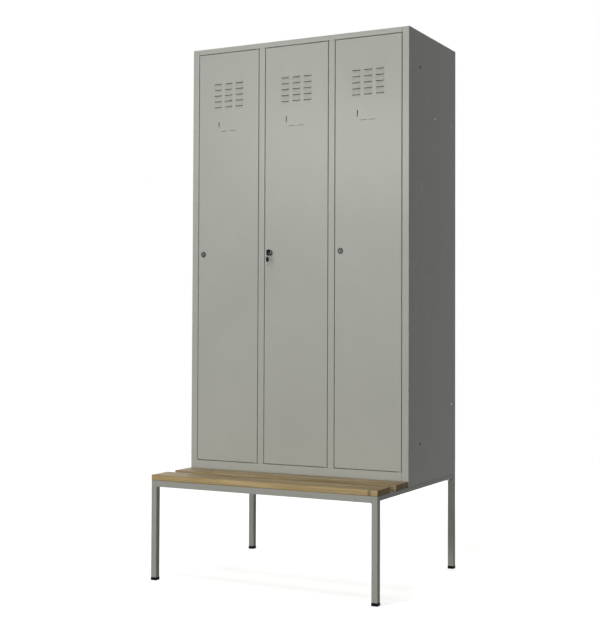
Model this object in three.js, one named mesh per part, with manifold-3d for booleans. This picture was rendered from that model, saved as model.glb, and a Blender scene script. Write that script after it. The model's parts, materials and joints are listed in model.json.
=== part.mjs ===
// A clothes locker with three doors, bolted on a bench frame of square tube.
// The casing and the doors are folded from sheet steel, and the seat is two wooden slats.
// Millimetres, +Z up, -Y towards the person who opens the doors, +X to that person's right.
// The origin is on the floor, under the middle of the whole footprint.

import * as THREE from 'three'
import { mergeVertices } from 'three/addons/utils/BufferGeometryUtils.js'
import Module from 'manifold-3d'

const wasm = await Module()
wasm.setup()

// Driving sizes
const LOCKER_WIDTH = 1000
const LOCKER_DEPTH = 510
const LOCKER_HEIGHT = 1800
const BENCH_HEIGHT = 400 // floor to the top of the tube frame
const SEAT_PROJECTION = 290 // how far the bench stands out in front of the locker
const COMPARTMENTS = ['left', 'middle', 'right']

// Sheet steel and clearances
const SHEET = 1
const BEND_RADIUS = 1 // inside a fold
const SEAM = 0.25 // between pieces that are welded, riveted or bolted together
const RUNNING_GAP = 0.5 // between pieces that move past each other
const OVERRUN = 5 // how far a cutting shape runs past what it cuts

// Front frame of the locker
const STILE_FACE = 29
const MULLION_FACE = 28
const TOP_RAIL_FACE = 22
const BOTTOM_RAIL_FACE = 55.5
const FRAME_RETURN = 22 // front face to the door stops
const STOP_LIP = 10
const REAR_FLANGE = 15
const RAIL_BASE_FLANGE = 20
const FLOOR_BASE_FLANGE = 25
const PARTITION_FLANGE = 11

// Floor panel and hat shelves
const FLOOR_LIP = 15 // at its front and rear edges
const SHELF_DROP = 295 // from the top rail's underside to the shelf
const SHELF_SETBACK = 42 // from the locker's front face
const SHELF_FLANGE = 22
const SHELF_HEM = 10
const SHELF_SIDE_FLANGE = 15

// Coat rails and hooks
const COAT_RAIL_RADIUS = 8
const COAT_RAIL_WALL = 1.5
const COAT_RAIL_DROP = 62 // shelf to the rail's centre
const RAIL_FLANGE_RADIUS = 17
const RAIL_FLANGE_THICKNESS = 2
const HOOK_STRIP = 2.5
const HOOK_WIDTH = 16
const HOOK_BEND = 4
const HOOK_PLATE = 20
const HOOK_DROP = 44
const HOOK_REACH = 24
const HOOK_TIP = 16
const HOOK_SETBACK = 130 // from the locker's front face

// Doors
const DOOR_GAP = 2.5
const DOOR_DEPTH = 18
const DOOR_LIP = 10
const LOUVRE_ROWS = 5
const LOUVRE_COLUMNS = 3
const LOUVRE_PITCH_X = 52
const LOUVRE_PITCH_Z = 24.5
const LOUVRE_WIDTH = 36
const LOUVRE_HEIGHT = 7
const LOUVRE_RISE = 3.5
const LOUVRE_SLOT = 3.5
const LOUVRE_DROP = 155 // from the locker's top to the first row's slots
const CARD_SLOT_WIDTH = 5
const CARD_SLOT_HEIGHT = 25
const CARD_SLOT_OFFSET = 47 // to the left of the door's middle
const CARD_SLOT_DROP = 327
const CARD_SLIT_WIDTH = 31
const CARD_SLIT_HEIGHT = 1.5
const CARD_SLIT_PITCH = 40
const CARD_SLIT_OFFSET = 2 // of the pair, to the left of the door's middle
const CARD_SLIT_DROP = 355.5
const SLOT_ROUNDING_SHARE = 0.4 // of a slot's narrow side

// Pivot pins and the channel that carries them
const PIN_RADIUS = 3
const PIN_CLEARANCE = 0.3
const PIN_FROM_EDGE = 9
const PIN_FROM_FACE = 6
const PIN_REACH = 8 // past the door's own edge
const PIN_COLLAR_RADIUS = 5 // the washer that the door stands on
const PIN_BLOCK_WIDTH = 14
const PIN_BLOCK_HEIGHT = 26
const CHANNEL_WIDTH = 34

// Cam locks
const LOCK_HEIGHT = 925 // above the locker's foot
const LOCK_FROM_EDGE = 25
const LOCK_FACE_RADIUS = 12
const LOCK_FACE_THICKNESS = 2.5
const LOCK_FACE_CHAMFER = 0.8
const LOCK_BARREL_RADIUS = 9
const LOCK_FLAT = 15.5 // across the two flats of the barrel
const LOCK_PLUG_RADIUS = 6
const LOCK_PLUG_RECESS = 0.4
const LOCK_PLUG_CLEARANCE = 0.25
const LOCK_NUT_ACROSS = 23
const LOCK_NUT_THICKNESS = 4
const LOCK_TAIL = 6 // the square end that turns the cam
const LOCK_HEAD_RADIUS = 4.5
const LOCK_HEAD_THICKNESS = 1.5
const LOCK_SQUARE_CLEARANCE = 0.3
const CAM_THICKNESS = 2
const CAM_WIDTH = 14
const CAM_OVERLAP = 6.5 // how far the shut cam reaches behind the stop lip
const CAM_TIP_WIDTH = 10

// Keys
const KEY_THICKNESS = 2
const KEY_BLADE_HEIGHT = 7
const KEY_BLADE_LENGTH = 21
const KEY_NECK_LENGTH = 3
const KEY_NECK_HEIGHT = 9
const KEY_NOTCHES = 4
const KEY_NOTCH_DEPTH = 1.6
const KEY_TIP = 3
const KEY_BOW_LENGTH = 22.5
const KEY_BOW_HEIGHT = 25
const KEY_BOW_THICKNESS = 4
const KEY_BOW_ROUNDING = 8
const KEY_HOLE_RADIUS = 3
const KEY_HOLE_FROM_END = 6
const SPARE_BOW_LENGTH = 18
const SPARE_BOW_WIDTH = 19
const SPARE_BLADE_LENGTH = 18
const KEYWAY_CLEARANCE = 0.3
const RING_RADIUS = 10
const RING_WIRE_RADIUS = 0.8
const RING_PLAY = 0.5

// Bench frame
const TUBE = 25
const TUBE_WALL = 1.5
const TUBE_INSIDE_ROUNDING = 0.5
const SIDE_RAIL_HEIGHT = 18
const PLUG_HEAD_HEIGHT = 12
const PLUG_HEAD_MARGIN = 1 // past the tube on each side
const PLUG_HEAD_ROUNDING = 2
const PLUG_SPIGOT = 18
const PLUG_SPIGOT_CLEARANCE = 0.25

// Seat slats
const SLAT_THICKNESS = 22
const SLAT_WIDTH = 115
const SLAT_REAR_GAP = 6
const SLAT_ROUNDING = 3

// Bolts between the locker and the bench
const BOLT_RADIUS = 4
const BOLT_HOLE_CLEARANCE = 0.5
const BOLT_HEAD_ACROSS = 13
const BOLT_HEAD_HEIGHT = 5.5
const BOLT_NUT_HEIGHT = 6.5
const BOLT_END = 3 // past the nut
const BOLT_FROM_SIDE = 150 // the two at the front, from the locker's side
const BOLT_FROM_REAR = 60 // the two at the rear, from the locker's back

// Fineness of the round forms
const BEND_STEPS = 2
const LOUVRE_STEPS = 3
const KEY_STEPS = 4
const ROUND_STEPS = 24
const SMALL_ROUND_STEPS = 16
const WIRE_STEPS = 8
const HEXAGON_SIDES = 6

// Places worked out from the driving sizes
const BENCH_FRONT = -(LOCKER_DEPTH + SEAT_PROJECTION) / 2
const LOCKER_FRONT = BENCH_FRONT + SEAT_PROJECTION
const LOCKER_REAR = LOCKER_FRONT + LOCKER_DEPTH
const HALF_WIDTH = LOCKER_WIDTH / 2
const LOCKER_TOP = BENCH_HEIGHT + LOCKER_HEIGHT
const LOCKER_FOOT = BENCH_HEIGHT + SEAM
const OPENING_BOTTOM = BENCH_HEIGHT + BOTTOM_RAIL_FACE
const OPENING_TOP = LOCKER_TOP - TOP_RAIL_FACE
const STILE_EDGE = HALF_WIDTH - STILE_FACE
const STOP_FACE = LOCKER_FRONT + FRAME_RETURN
const OPENING_WIDTH = (2 * STILE_EDGE - (COMPARTMENTS.length - 1) * MULLION_FACE) / COMPARTMENTS.length
const OPENING_PITCH = OPENING_WIDTH + MULLION_FACE
const DOOR_BOTTOM = OPENING_BOTTOM + DOOR_GAP
const DOOR_TOP = OPENING_TOP - DOOR_GAP
const DOOR_WIDTH = OPENING_WIDTH - 2 * DOOR_GAP
const BACK_PANEL_FRONT = LOCKER_REAR - SHEET - SEAM - SHEET
const FLOOR_LEVEL = OPENING_BOTTOM - SHEET - SEAM
const SHELF_LEVEL = OPENING_TOP - SHELF_DROP
const LOCK_LEVEL = BENCH_HEIGHT + LOCK_HEIGHT
const OUTER_BEND = BEND_RADIUS + SHEET
const TUBE_ROUNDING = TUBE_INSIDE_ROUNDING + TUBE_WALL
const SIDE_RAIL_UNDERSIDE = BENCH_HEIGHT - SIDE_RAIL_HEIGHT
const CAM_FRONT = STOP_FACE + SHEET + RUNNING_GAP
const PLUG_FRONT = LOCKER_FRONT - SEAM - LOCK_FACE_THICKNESS + LOCK_PLUG_RECESS
const KEY_SHOULDER = PLUG_FRONT - KEYWAY_CLEARANCE
const KEY_FRONT = KEY_SHOULDER - KEY_NECK_LENGTH - KEY_BOW_LENGTH
const RING_DROP = KEY_HOLE_RADIUS - RING_WIRE_RADIUS - RING_PLAY

// Colours and finishes
const painted = () => new THREE.MeshStandardMaterial({ color: 0xa9aaa3, roughness: 0.55, metalness: 0 })
const paintedFrame = () => new THREE.MeshStandardMaterial({ color: 0x9fa19b, roughness: 0.5, metalness: 0 })
const zinc = () => new THREE.MeshStandardMaterial({ color: 0xb4b6b8, roughness: 0.4, metalness: 0.9 })
const nickel = () => new THREE.MeshStandardMaterial({ color: 0x9a9c9e, roughness: 0.3, metalness: 1 })
const blackPlastic = () => new THREE.MeshStandardMaterial({ color: 0x1c1d20, roughness: 0.6, metalness: 0 })
const keyBow = () => new THREE.MeshStandardMaterial({ color: 0x23282a, roughness: 0.45, metalness: 0 })
const wood = () => new THREE.MeshStandardMaterial({ color: 0xb08f5c, roughness: 0.6, metalness: 0 })

// A closed geometry as a solid that can be joined and cut.
function solid(geometry) {
  geometry.deleteAttribute('normal')
  geometry.deleteAttribute('uv')
  const merged = mergeVertices(geometry)
  const corners = merged.index.array
  const triangles = []
  for (let i = 0; i < corners.length; i += 3) {
    const [a, b, c] = [corners[i], corners[i + 1], corners[i + 2]]
    if (a !== b && b !== c && c !== a) triangles.push(a, b, c)
  }
  return new wasm.Manifold(new wasm.Mesh({
    numProp: 3,
    vertProperties: new Float32Array(merged.attributes.position.array),
    triVerts: new Uint32Array(triangles),
  }))
}

// A solid as a mesh with flat faces.
function part(name, body, material) {
  const mesh = body.getMesh()
  const geometry = new THREE.BufferGeometry()
  geometry.setAttribute('position', new THREE.BufferAttribute(new Float32Array(mesh.vertProperties), 3))
  geometry.setIndex(new THREE.BufferAttribute(new Uint32Array(mesh.triVerts), 1))
  const faceted = geometry.toNonIndexed()
  faceted.computeVertexNormals()
  const piece = new THREE.Mesh(faceted, material)
  piece.name = name
  return piece
}

// An outline's two axes, and the axis that it is extruded along: yz along x, zx along y, xy along z.
const ALONG_X = new THREE.Matrix4().set(0, 0, 1, 0, 1, 0, 0, 0, 0, 1, 0, 0, 0, 0, 0, 1)
const ALONG_Y = new THREE.Matrix4().set(0, 1, 0, 0, 0, 0, 1, 0, 1, 0, 0, 0, 0, 0, 0, 1)
const ALONG_Z = new THREE.Matrix4()

function extrude(outline, direction, from, to, holes = []) {
  const shape = new THREE.Shape(outline)
  shape.holes = holes.map((hole) => new THREE.Path(hole))
  const geometry = new THREE.ExtrudeGeometry(shape, { depth: to - from, bevelEnabled: false })
  geometry.translate(0, 0, from)
  return solid(geometry.applyMatrix4(direction))
}

function box(x0, x1, y0, y1, z0, z1) {
  const geometry = new THREE.BoxGeometry(Math.abs(x1 - x0), Math.abs(y1 - y0), Math.abs(z1 - z0))
  return solid(geometry.translate((x0 + x1) / 2, (y0 + y1) / 2, (z0 + z1) / 2))
}

function join(bodies) {
  return bodies.reduce((sum, body) => sum.add(body))
}

function cut(body, tools) {
  return tools.reduce((rest, tool) => rest.subtract(tool), body)
}

// Points on an arc about (u, v). The angles are in quarter turns.
function arc(u, v, radius, fromQuarter, toQuarter, steps = BEND_STEPS) {
  return Array.from({ length: steps + 1 }, (_, i) => {
    const angle = (fromQuarter + ((toQuarter - fromQuarter) * i) / steps) * (Math.PI / 2)
    return new THREE.Vector2(u + radius * Math.cos(angle), v + radius * Math.sin(angle))
  })
}

function circle(u, v, radius, steps = ROUND_STEPS) {
  return arc(u, v, radius, 0, 4, steps).slice(0, steps)
}

function roundedRectangle(u0, u1, v0, v1, radius, steps = BEND_STEPS) {
  return [
    ...arc(u1 - radius, v0 + radius, radius, -1, 0, steps),
    ...arc(u1 - radius, v1 - radius, radius, 0, 1, steps),
    ...arc(u0 + radius, v1 - radius, radius, 1, 2, steps),
    ...arc(u0 + radius, v0 + radius, radius, 2, 3, steps),
  ]
}

// A hexagon, by the distance between its flats.
function hexagon(u, v, across) {
  return circle(u, v, across / Math.sqrt(3), HEXAGON_SIDES)
}

function mirrored(path, about = 0) {
  return path.map(([u, v]) => [2 * about - u, v]).reverse()
}

// The section of a folded strip. The path runs along one face of the strip, which lies on the
// path's left and turns each corner in an arc.
function foldedSection(path, thickness = SHEET, insideRadius = BEND_RADIUS) {
  const face = []
  const far = []
  const place = (point, normal) => {
    face.push(point.clone())
    far.push(point.clone().addScaledVector(normal, thickness))
  }
  const leftOf = (direction) => new THREE.Vector2(-direction.y, direction.x)
  const points = path.map(([u, v]) => new THREE.Vector2(u, v))
  const runs = points.slice(1).map((point, i) => point.clone().sub(points[i]).normalize())
  place(points[0], leftOf(runs[0]))
  for (let i = 1; i < points.length - 1; i++) {
    const turn = Math.atan2(runs[i - 1].cross(runs[i]), runs[i - 1].dot(runs[i]))
    const side = Math.sign(turn)
    const radius = side > 0 ? insideRadius + thickness : insideRadius
    const start = points[i].clone().addScaledVector(runs[i - 1], -radius * Math.tan(Math.abs(turn) / 2))
    const centre = start.clone().addScaledVector(leftOf(runs[i - 1]), side * radius)
    for (let step = 0; step <= BEND_STEPS; step++) {
      const normal = leftOf(runs[i - 1]).rotateAround(new THREE.Vector2(), (turn * step) / BEND_STEPS)
      place(centre.clone().addScaledVector(normal, -side * radius), normal)
    }
  }
  place(points.at(-1), leftOf(runs.at(-1)))
  return [...face, ...far.reverse()]
}

// A solid of revolution. The profile's points are [radius, distance along the axis]. A profile
// that touches the axis starts and ends on it, and any other closes on itself.
function turned(profile, axis, centre, steps = ROUND_STEPS) {
  const outline = profile.map(([radius, along]) => new THREE.Vector2(radius, along))
  if (THREE.ShapeUtils.isClockWise(outline)) outline.reverse()
  if (profile.every(([radius]) => radius > 0)) outline.push(outline[0])
  const geometry = new THREE.LatheGeometry(outline, steps)
  geometry.applyQuaternion(new THREE.Quaternion().setFromUnitVectors(new THREE.Vector3(0, 1, 0), axis))
  return solid(geometry.translate(...centre))
}

const X_AXIS = new THREE.Vector3(1, 0, 0)
const Y_AXIS = new THREE.Vector3(0, 1, 0)
const Z_AXIS = new THREE.Vector3(0, 0, 1)

function rod(radius, from, to, axis, centre, steps) {
  return turned([[0, from], [radius, from], [radius, to], [0, to]], axis, centre, steps)
}

// Places of the compartments, numbered from the left
const openingCentre = (i) => (i - (COMPARTMENTS.length - 1) / 2) * OPENING_PITCH
const mullionCentre = (i) => openingCentre(i) + OPENING_PITCH / 2
const isLast = (i) => i === COMPARTMENTS.length - 1
const innerLeft = (i) => (i === 0 ? -(HALF_WIDTH - SHEET) : mullionCentre(i - 1) + SHEET / 2)
const innerRight = (i) => (isLast(i) ? HALF_WIDTH - SHEET : mullionCentre(i) - SHEET / 2)
const doorLeft = (i) => openingCentre(i) - DOOR_WIDTH / 2
const doorRight = (i) => openingCentre(i) + DOOR_WIDTH / 2
const pinX = (i) => doorRight(i) - PIN_FROM_EDGE
const lockX = (i) => doorLeft(i) + LOCK_FROM_EDGE
const PIN_Y = LOCKER_FRONT + PIN_FROM_FACE
const SIDES = [['left', -1], ['right', 1]]

// Vertical holes for the pivot pins of all doors, between two heights.
function pinHoles(from, to) {
  return COMPARTMENTS.map((_, i) =>
    rod(PIN_RADIUS + PIN_CLEARANCE, from, to, Z_AXIS, [pinX(i), PIN_Y, 0], SMALL_ROUND_STEPS))
}

// Places of the bolts between the locker and the bench.
const BOLT_PLACES = SIDES.flatMap(([name, side]) => [
  [`front_${name}`, side * (HALF_WIDTH - BOLT_FROM_SIDE), LOCKER_FRONT + TUBE / 2],
  [`rear_${name}`, side * (HALF_WIDTH - TUBE / 2), LOCKER_REAR - BOLT_FROM_REAR],
])

function boltHoles(from, to) {
  return BOLT_PLACES.map(([, x, y]) =>
    rod(BOLT_RADIUS + BOLT_HOLE_CLEARANCE, from, to, Z_AXIS, [x, y, 0], SMALL_ROUND_STEPS))
}

// The casing

// A side wall in one piece with its front stile, the stop lip behind it and the rear flange.
function sidePanel(side) {
  const path = [
    [STILE_EDGE - STOP_LIP, STOP_FACE],
    [STILE_EDGE, STOP_FACE],
    [STILE_EDGE, LOCKER_FRONT],
    [HALF_WIDTH, LOCKER_FRONT],
    [HALF_WIDTH, LOCKER_REAR],
    [HALF_WIDTH - REAR_FLANGE, LOCKER_REAR],
  ]
  const section = foldedSection(side > 0 ? path : mirrored(path))
  return extrude(section, ALONG_Z, LOCKER_FOOT, LOCKER_TOP - SHEET - SEAM)
}

// The top sheet in one piece with the front fascia, its stop lip and the rear flange. Its ends
// are cut back below the sheet, where the side panels are.
function roofPanel() {
  const section = foldedSection([
    [LOCKER_REAR, LOCKER_TOP - REAR_FLANGE],
    [LOCKER_REAR, LOCKER_TOP],
    [LOCKER_FRONT, LOCKER_TOP],
    [LOCKER_FRONT, OPENING_TOP],
    [STOP_FACE, OPENING_TOP],
    [STOP_FACE, OPENING_TOP - STOP_LIP],
  ])
  const underside = LOCKER_TOP - SHEET
  const bottom = OPENING_TOP - STOP_LIP - OVERRUN
  const notches = SIDES.flatMap(([, side]) => {
    const end = side * (HALF_WIDTH + OVERRUN)
    const stile = side * (STILE_EDGE - SEAM)
    const flange = side * (HALF_WIDTH - REAR_FLANGE - SEAM)
    const rear = LOCKER_REAR - REAR_FLANGE
    return [
      box(stile, end, LOCKER_FRONT - OVERRUN, STOP_FACE + OVERRUN, bottom, underside),
      box(flange, end, rear, LOCKER_REAR + OVERRUN, bottom, underside),
      lipNotch(side, OPENING_TOP - STOP_LIP - OVERRUN, underside),
    ]
  })
  const sheet = extrude(section, ALONG_X, -HALF_WIDTH, HALF_WIDTH)
  return cut(sheet, [...notches, ...pinHoles(OPENING_TOP - OVERRUN, OPENING_TOP + OVERRUN)])
}

// The room that a side panel's stop lip needs in a rail that ends beside it.
function lipNotch(side, from, to) {
  return box(
    side * (STILE_EDGE - STOP_LIP - SEAM), side * (HALF_WIDTH + OVERRUN),
    STOP_FACE - BEND_RADIUS - SEAM, STOP_FACE + OVERRUN, from, to)
}

// The rail under the doors, with a foot flange and a stop lip.
function bottomRail() {
  const section = foldedSection([
    [STOP_FACE, OPENING_BOTTOM + STOP_LIP],
    [STOP_FACE, OPENING_BOTTOM],
    [LOCKER_FRONT, OPENING_BOTTOM],
    [LOCKER_FRONT, LOCKER_FOOT],
    [LOCKER_FRONT + RAIL_BASE_FLANGE, LOCKER_FOOT],
  ])
  const rail = extrude(section, ALONG_X, -STILE_EDGE + SEAM, STILE_EDGE - SEAM)
  return cut(rail, [
    ...SIDES.map(([, side]) => lipNotch(side, FLOOR_LEVEL, OPENING_BOTTOM + STOP_LIP + OVERRUN)),
    ...pinHoles(OPENING_BOTTOM - OVERRUN, OPENING_BOTTOM + OVERRUN),
    ...boltHoles(LOCKER_FOOT - OVERRUN, LOCKER_FOOT + OVERRUN),
  ])
}

// The floor is a sheet whose sides go down to the bench and turn in there, as feet for the bolts.
// A lip stiffens its front and rear edges, and the front is tucked under the bottom rail.
function floorPanel() {
  const half = HALF_WIDTH - SHEET - SEAM
  const front = LOCKER_FRONT + OUTER_BEND
  const rear = BACK_PANEL_FRONT - SEAM
  const section = foldedSection([
    [LOCKER_FOOT, FLOOR_BASE_FLANGE - half],
    [LOCKER_FOOT, -half],
    [FLOOR_LEVEL, -half],
    [FLOOR_LEVEL, half],
    [LOCKER_FOOT, half],
    [LOCKER_FOOT, half - FLOOR_BASE_FLANGE],
  ])
  const lip = (y0, y1) =>
    box(-half + SHEET / 2, half - SHEET / 2, y0, y1, FLOOR_LEVEL - FLOOR_LIP, FLOOR_LEVEL - SHEET / 2)
  const corners = SIDES.map(([, side]) => box(
    side * (STILE_EDGE - STOP_LIP - SEAM), side * (HALF_WIDTH + OVERRUN),
    front - OVERRUN, STOP_FACE + SHEET + SEAM, LOCKER_FOOT - OVERRUN, FLOOR_LEVEL + OVERRUN))
  return cut(join([extrude(section, ALONG_Y, front, rear), lip(front, front + SHEET), lip(rear - SHEET, rear)]), [
    ...corners,
    ...pinHoles(FLOOR_LEVEL - OVERRUN, FLOOR_LEVEL + OVERRUN),
    ...boltHoles(LOCKER_FOOT - OVERRUN, LOCKER_FOOT + OVERRUN),
  ])
}

function backPanel() {
  const half = HALF_WIDTH - OUTER_BEND
  return box(
    -half, half, BACK_PANEL_FRONT, BACK_PANEL_FRONT + SHEET,
    LOCKER_FOOT + SHEET + SEAM, LOCKER_TOP - OUTER_BEND)
}

// Cuts a post's two ends back behind the front frame, where the rails have their stop lips.
function railNotches(x0, x1, y0, y1) {
  return [
    box(x0, x1, y0, y1, OPENING_BOTTOM - OVERRUN, OPENING_BOTTOM + STOP_LIP + SEAM),
    box(x0, x1, y0, y1, OPENING_TOP - STOP_LIP - SEAM, LOCKER_TOP + OVERRUN),
  ]
}

// The post between two doors, folded as a hat with a stop lip on each side.
function mullion(x) {
  const half = MULLION_FACE / 2
  const section = foldedSection([
    [x - half - STOP_LIP, STOP_FACE],
    [x - half, STOP_FACE],
    [x - half, LOCKER_FRONT],
    [x + half, LOCKER_FRONT],
    [x + half, STOP_FACE],
    [x + half + STOP_LIP, STOP_FACE],
  ])
  const post = extrude(section, ALONG_Z, OPENING_BOTTOM + SEAM, OPENING_TOP - SEAM)
  const reach = half + STOP_LIP + OVERRUN
  return cut(post, railNotches(x - reach, x + reach, STOP_FACE - BEND_RADIUS - SEAM, STOP_FACE + OVERRUN))
}

// The wall between two compartments, with a flange behind the post and one on the back panel.
function partition(x) {
  const front = LOCKER_FRONT + SHEET + SEAM
  const rear = BACK_PANEL_FRONT - SEAM
  const section = foldedSection([
    [x + SHEET / 2 - PARTITION_FLANGE, front],
    [x + SHEET / 2, front],
    [x + SHEET / 2, rear],
    [x + SHEET / 2 - REAR_FLANGE, rear],
  ])
  const wall = extrude(section, ALONG_Z, FLOOR_LEVEL + SEAM, LOCKER_TOP - SHEET - SEAM)
  const reach = MULLION_FACE / 2
  return cut(wall, railNotches(x - reach, x + reach, front - OVERRUN, STOP_FACE + SHEET + SEAM))
}

// Fittings in each compartment

const SHELF_FRONT = LOCKER_FRONT + SHELF_SETBACK
const SHELF_REAR = BACK_PANEL_FRONT - SEAM - OUTER_BEND

function hatShelf(i) {
  const [left, right] = [innerLeft(i) + SEAM, innerRight(i) - SEAM]
  const section = foldedSection([
    [SHELF_REAR, SHELF_LEVEL - SHELF_FLANGE],
    [SHELF_REAR, SHELF_LEVEL],
    [SHELF_FRONT, SHELF_LEVEL],
    [SHELF_FRONT, SHELF_LEVEL - SHELF_FLANGE],
    [SHELF_FRONT + SHELF_HEM, SHELF_LEVEL - SHELF_FLANGE],
  ])
  const end = (x0, x1) => box(
    x0, x1, SHELF_FRONT + OUTER_BEND, SHELF_REAR - OUTER_BEND,
    SHELF_LEVEL - SHELF_SIDE_FLANGE, SHELF_LEVEL - SHEET / 2)
  return join([
    extrude(section, ALONG_X, left, right),
    end(left, left + SHEET),
    end(right - SHEET, right),
  ])
}

// A tube across the compartment, with a round flange at each wall.
function coatRail(i) {
  const [left, right] = [innerLeft(i) + SEAM, innerRight(i) - SEAM]
  const bore = COAT_RAIL_RADIUS - COAT_RAIL_WALL
  const profile = [
    [bore, left],
    [RAIL_FLANGE_RADIUS, left],
    [RAIL_FLANGE_RADIUS, left + RAIL_FLANGE_THICKNESS],
    [COAT_RAIL_RADIUS, left + RAIL_FLANGE_THICKNESS],
    [COAT_RAIL_RADIUS, right - RAIL_FLANGE_THICKNESS],
    [RAIL_FLANGE_RADIUS, right - RAIL_FLANGE_THICKNESS],
    [RAIL_FLANGE_RADIUS, right],
    [bore, right],
  ]
  const middle = (LOCKER_FRONT + LOCKER_REAR) / 2
  return turned(profile, X_AXIS, [0, middle, SHELF_LEVEL - COAT_RAIL_DROP])
}

// Two hooks of bent strip, back to back under the shelf.
function coatHook(i) {
  const x = openingCentre(i)
  const y = LOCKER_FRONT + HOOK_SETBACK
  const top = SHELF_LEVEL - SHEET - SEAM
  const path = [
    [y + HOOK_PLATE, top],
    [y, top],
    [y, top - HOOK_DROP],
    [y + HOOK_REACH, top - HOOK_DROP],
    [y + HOOK_REACH, top - HOOK_DROP + HOOK_TIP],
  ]
  return join([path, mirrored(path, y)].map((half) =>
    extrude(foldedSection(half, HOOK_STRIP, HOOK_BEND), ALONG_X, x - HOOK_WIDTH / 2, x + HOOK_WIDTH / 2)))
}

// The doors

// A pan with rounded folds, closed all round and open behind, except for a lip along each edge.
function foldedPan(x0, x1, y0, y1, z0, z1) {
  const shell = (inset, radius) => {
    const plan = roundedRectangle(x0 + inset, x1 - inset, y0 + inset, y1 - inset, radius)
    const elevation = roundedRectangle(y0 + inset, y1 - inset, z0 + inset, z1 - inset, radius)
    return extrude(plan, ALONG_Z, z0 + inset, z1 - inset)
      .intersect(extrude(elevation, ALONG_X, x0 + inset, x1 - inset))
  }
  const rear = box(x0 + DOOR_LIP, x1 - DOOR_LIP, y1 - OUTER_BEND, y1 + OVERRUN, z0 + DOOR_LIP, z1 - DOOR_LIP)
  return cut(shell(0, OUTER_BEND), [shell(SHEET, BEND_RADIUS), rear])
}

// The form that presses one louvre: a quarter-ellipse awning whose ends are rounded in the same
// way, from its open lower edge up. It reaches from behind the door sheet, at the given depth.
function louvreForm(x, lowerEdge, inset, behind, slot) {
  const half = LOUVRE_WIDTH / 2 - inset
  const rise = LOUVRE_RISE - inset
  const height = LOUVRE_HEIGHT - inset
  const plan = [
    new THREE.Vector2(x - half, behind),
    ...arc(x - half + rise, LOCKER_FRONT, rise, 2, 3, LOUVRE_STEPS),
    ...arc(x + half - rise, LOCKER_FRONT, rise, 3, 4, LOUVRE_STEPS),
    new THREE.Vector2(x + half, behind),
  ]
  const crown = arc(0, 0, 1, 1, 2, LOUVRE_STEPS).map((point) =>
    new THREE.Vector2(LOCKER_FRONT + rise * point.x, lowerEdge + height * point.y))
  const elevation = [
    new THREE.Vector2(behind, lowerEdge - slot),
    new THREE.Vector2(behind, lowerEdge + height),
    ...crown,
    ...(slot > 0 ? [new THREE.Vector2(LOCKER_FRONT - rise, lowerEdge - slot)] : []),
  ]
  return extrude(plan, ALONG_Z, lowerEdge - slot, lowerEdge + height)
    .intersect(extrude(elevation, ALONG_X, x - half, x + half))
}

function louvrePlaces(middle) {
  const rows = Array.from({ length: LOUVRE_ROWS }, (_, row) =>
    LOCKER_TOP - LOUVRE_DROP - row * LOUVRE_PITCH_Z + LOUVRE_SLOT / 2)
  const columns = Array.from({ length: LOUVRE_COLUMNS }, (_, column) =>
    middle + (column - (LOUVRE_COLUMNS - 1) / 2) * LOUVRE_PITCH_X)
  return rows.flatMap((z) => columns.map((x) => [x, z]))
}

// A slot with rounded corners, through the door sheet.
function slot(x, z, width, height) {
  const rounding = SLOT_ROUNDING_SHARE * Math.min(width, height)
  const outline = roundedRectangle(z - height / 2, z + height / 2, x - width / 2, x + width / 2, rounding)
  return extrude(outline, ALONG_Y, LOCKER_FRONT - OVERRUN, LOCKER_FRONT + OVERRUN)
}

// The thumb slot and the two slits that hold a name card.
function cardSlots(middle) {
  const slitZ = LOCKER_TOP - CARD_SLIT_DROP
  const pair = middle - CARD_SLIT_OFFSET
  return [
    slot(middle - CARD_SLOT_OFFSET, LOCKER_TOP - CARD_SLOT_DROP, CARD_SLOT_WIDTH, CARD_SLOT_HEIGHT),
    slot(pair - CARD_SLIT_PITCH / 2, slitZ, CARD_SLIT_WIDTH, CARD_SLIT_HEIGHT),
    slot(pair + CARD_SLIT_PITCH / 2, slitZ, CARD_SLIT_WIDTH, CARD_SLIT_HEIGHT),
  ]
}

function doorPan(i) {
  const middle = openingCentre(i)
  const pan = foldedPan(
    doorLeft(i), doorRight(i), LOCKER_FRONT, LOCKER_FRONT + DOOR_DEPTH, DOOR_BOTTOM, DOOR_TOP)
  const places = louvrePlaces(middle)
  const hoods = places.map(([x, z]) => louvreForm(x, z, 0, LOCKER_FRONT + SHEET / 2, 0))
  const mouths = places.map(([x, z]) =>
    louvreForm(x, z, SHEET, LOCKER_FRONT + SHEET + OVERRUN, LOUVRE_SLOT))
  return cut(join([pan, ...hoods]), [
    ...mouths,
    ...cardSlots(middle),
    lockBarrel(lockX(i), LOCKER_FRONT - OVERRUN, LOCKER_FRONT + OVERRUN, LOCK_PLUG_CLEARANCE),
    ...pinHoles(DOOR_BOTTOM - OVERRUN, DOOR_BOTTOM + OVERRUN),
    ...pinHoles(DOOR_TOP - OVERRUN, DOOR_TOP + OVERRUN),
  ])
}

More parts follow.
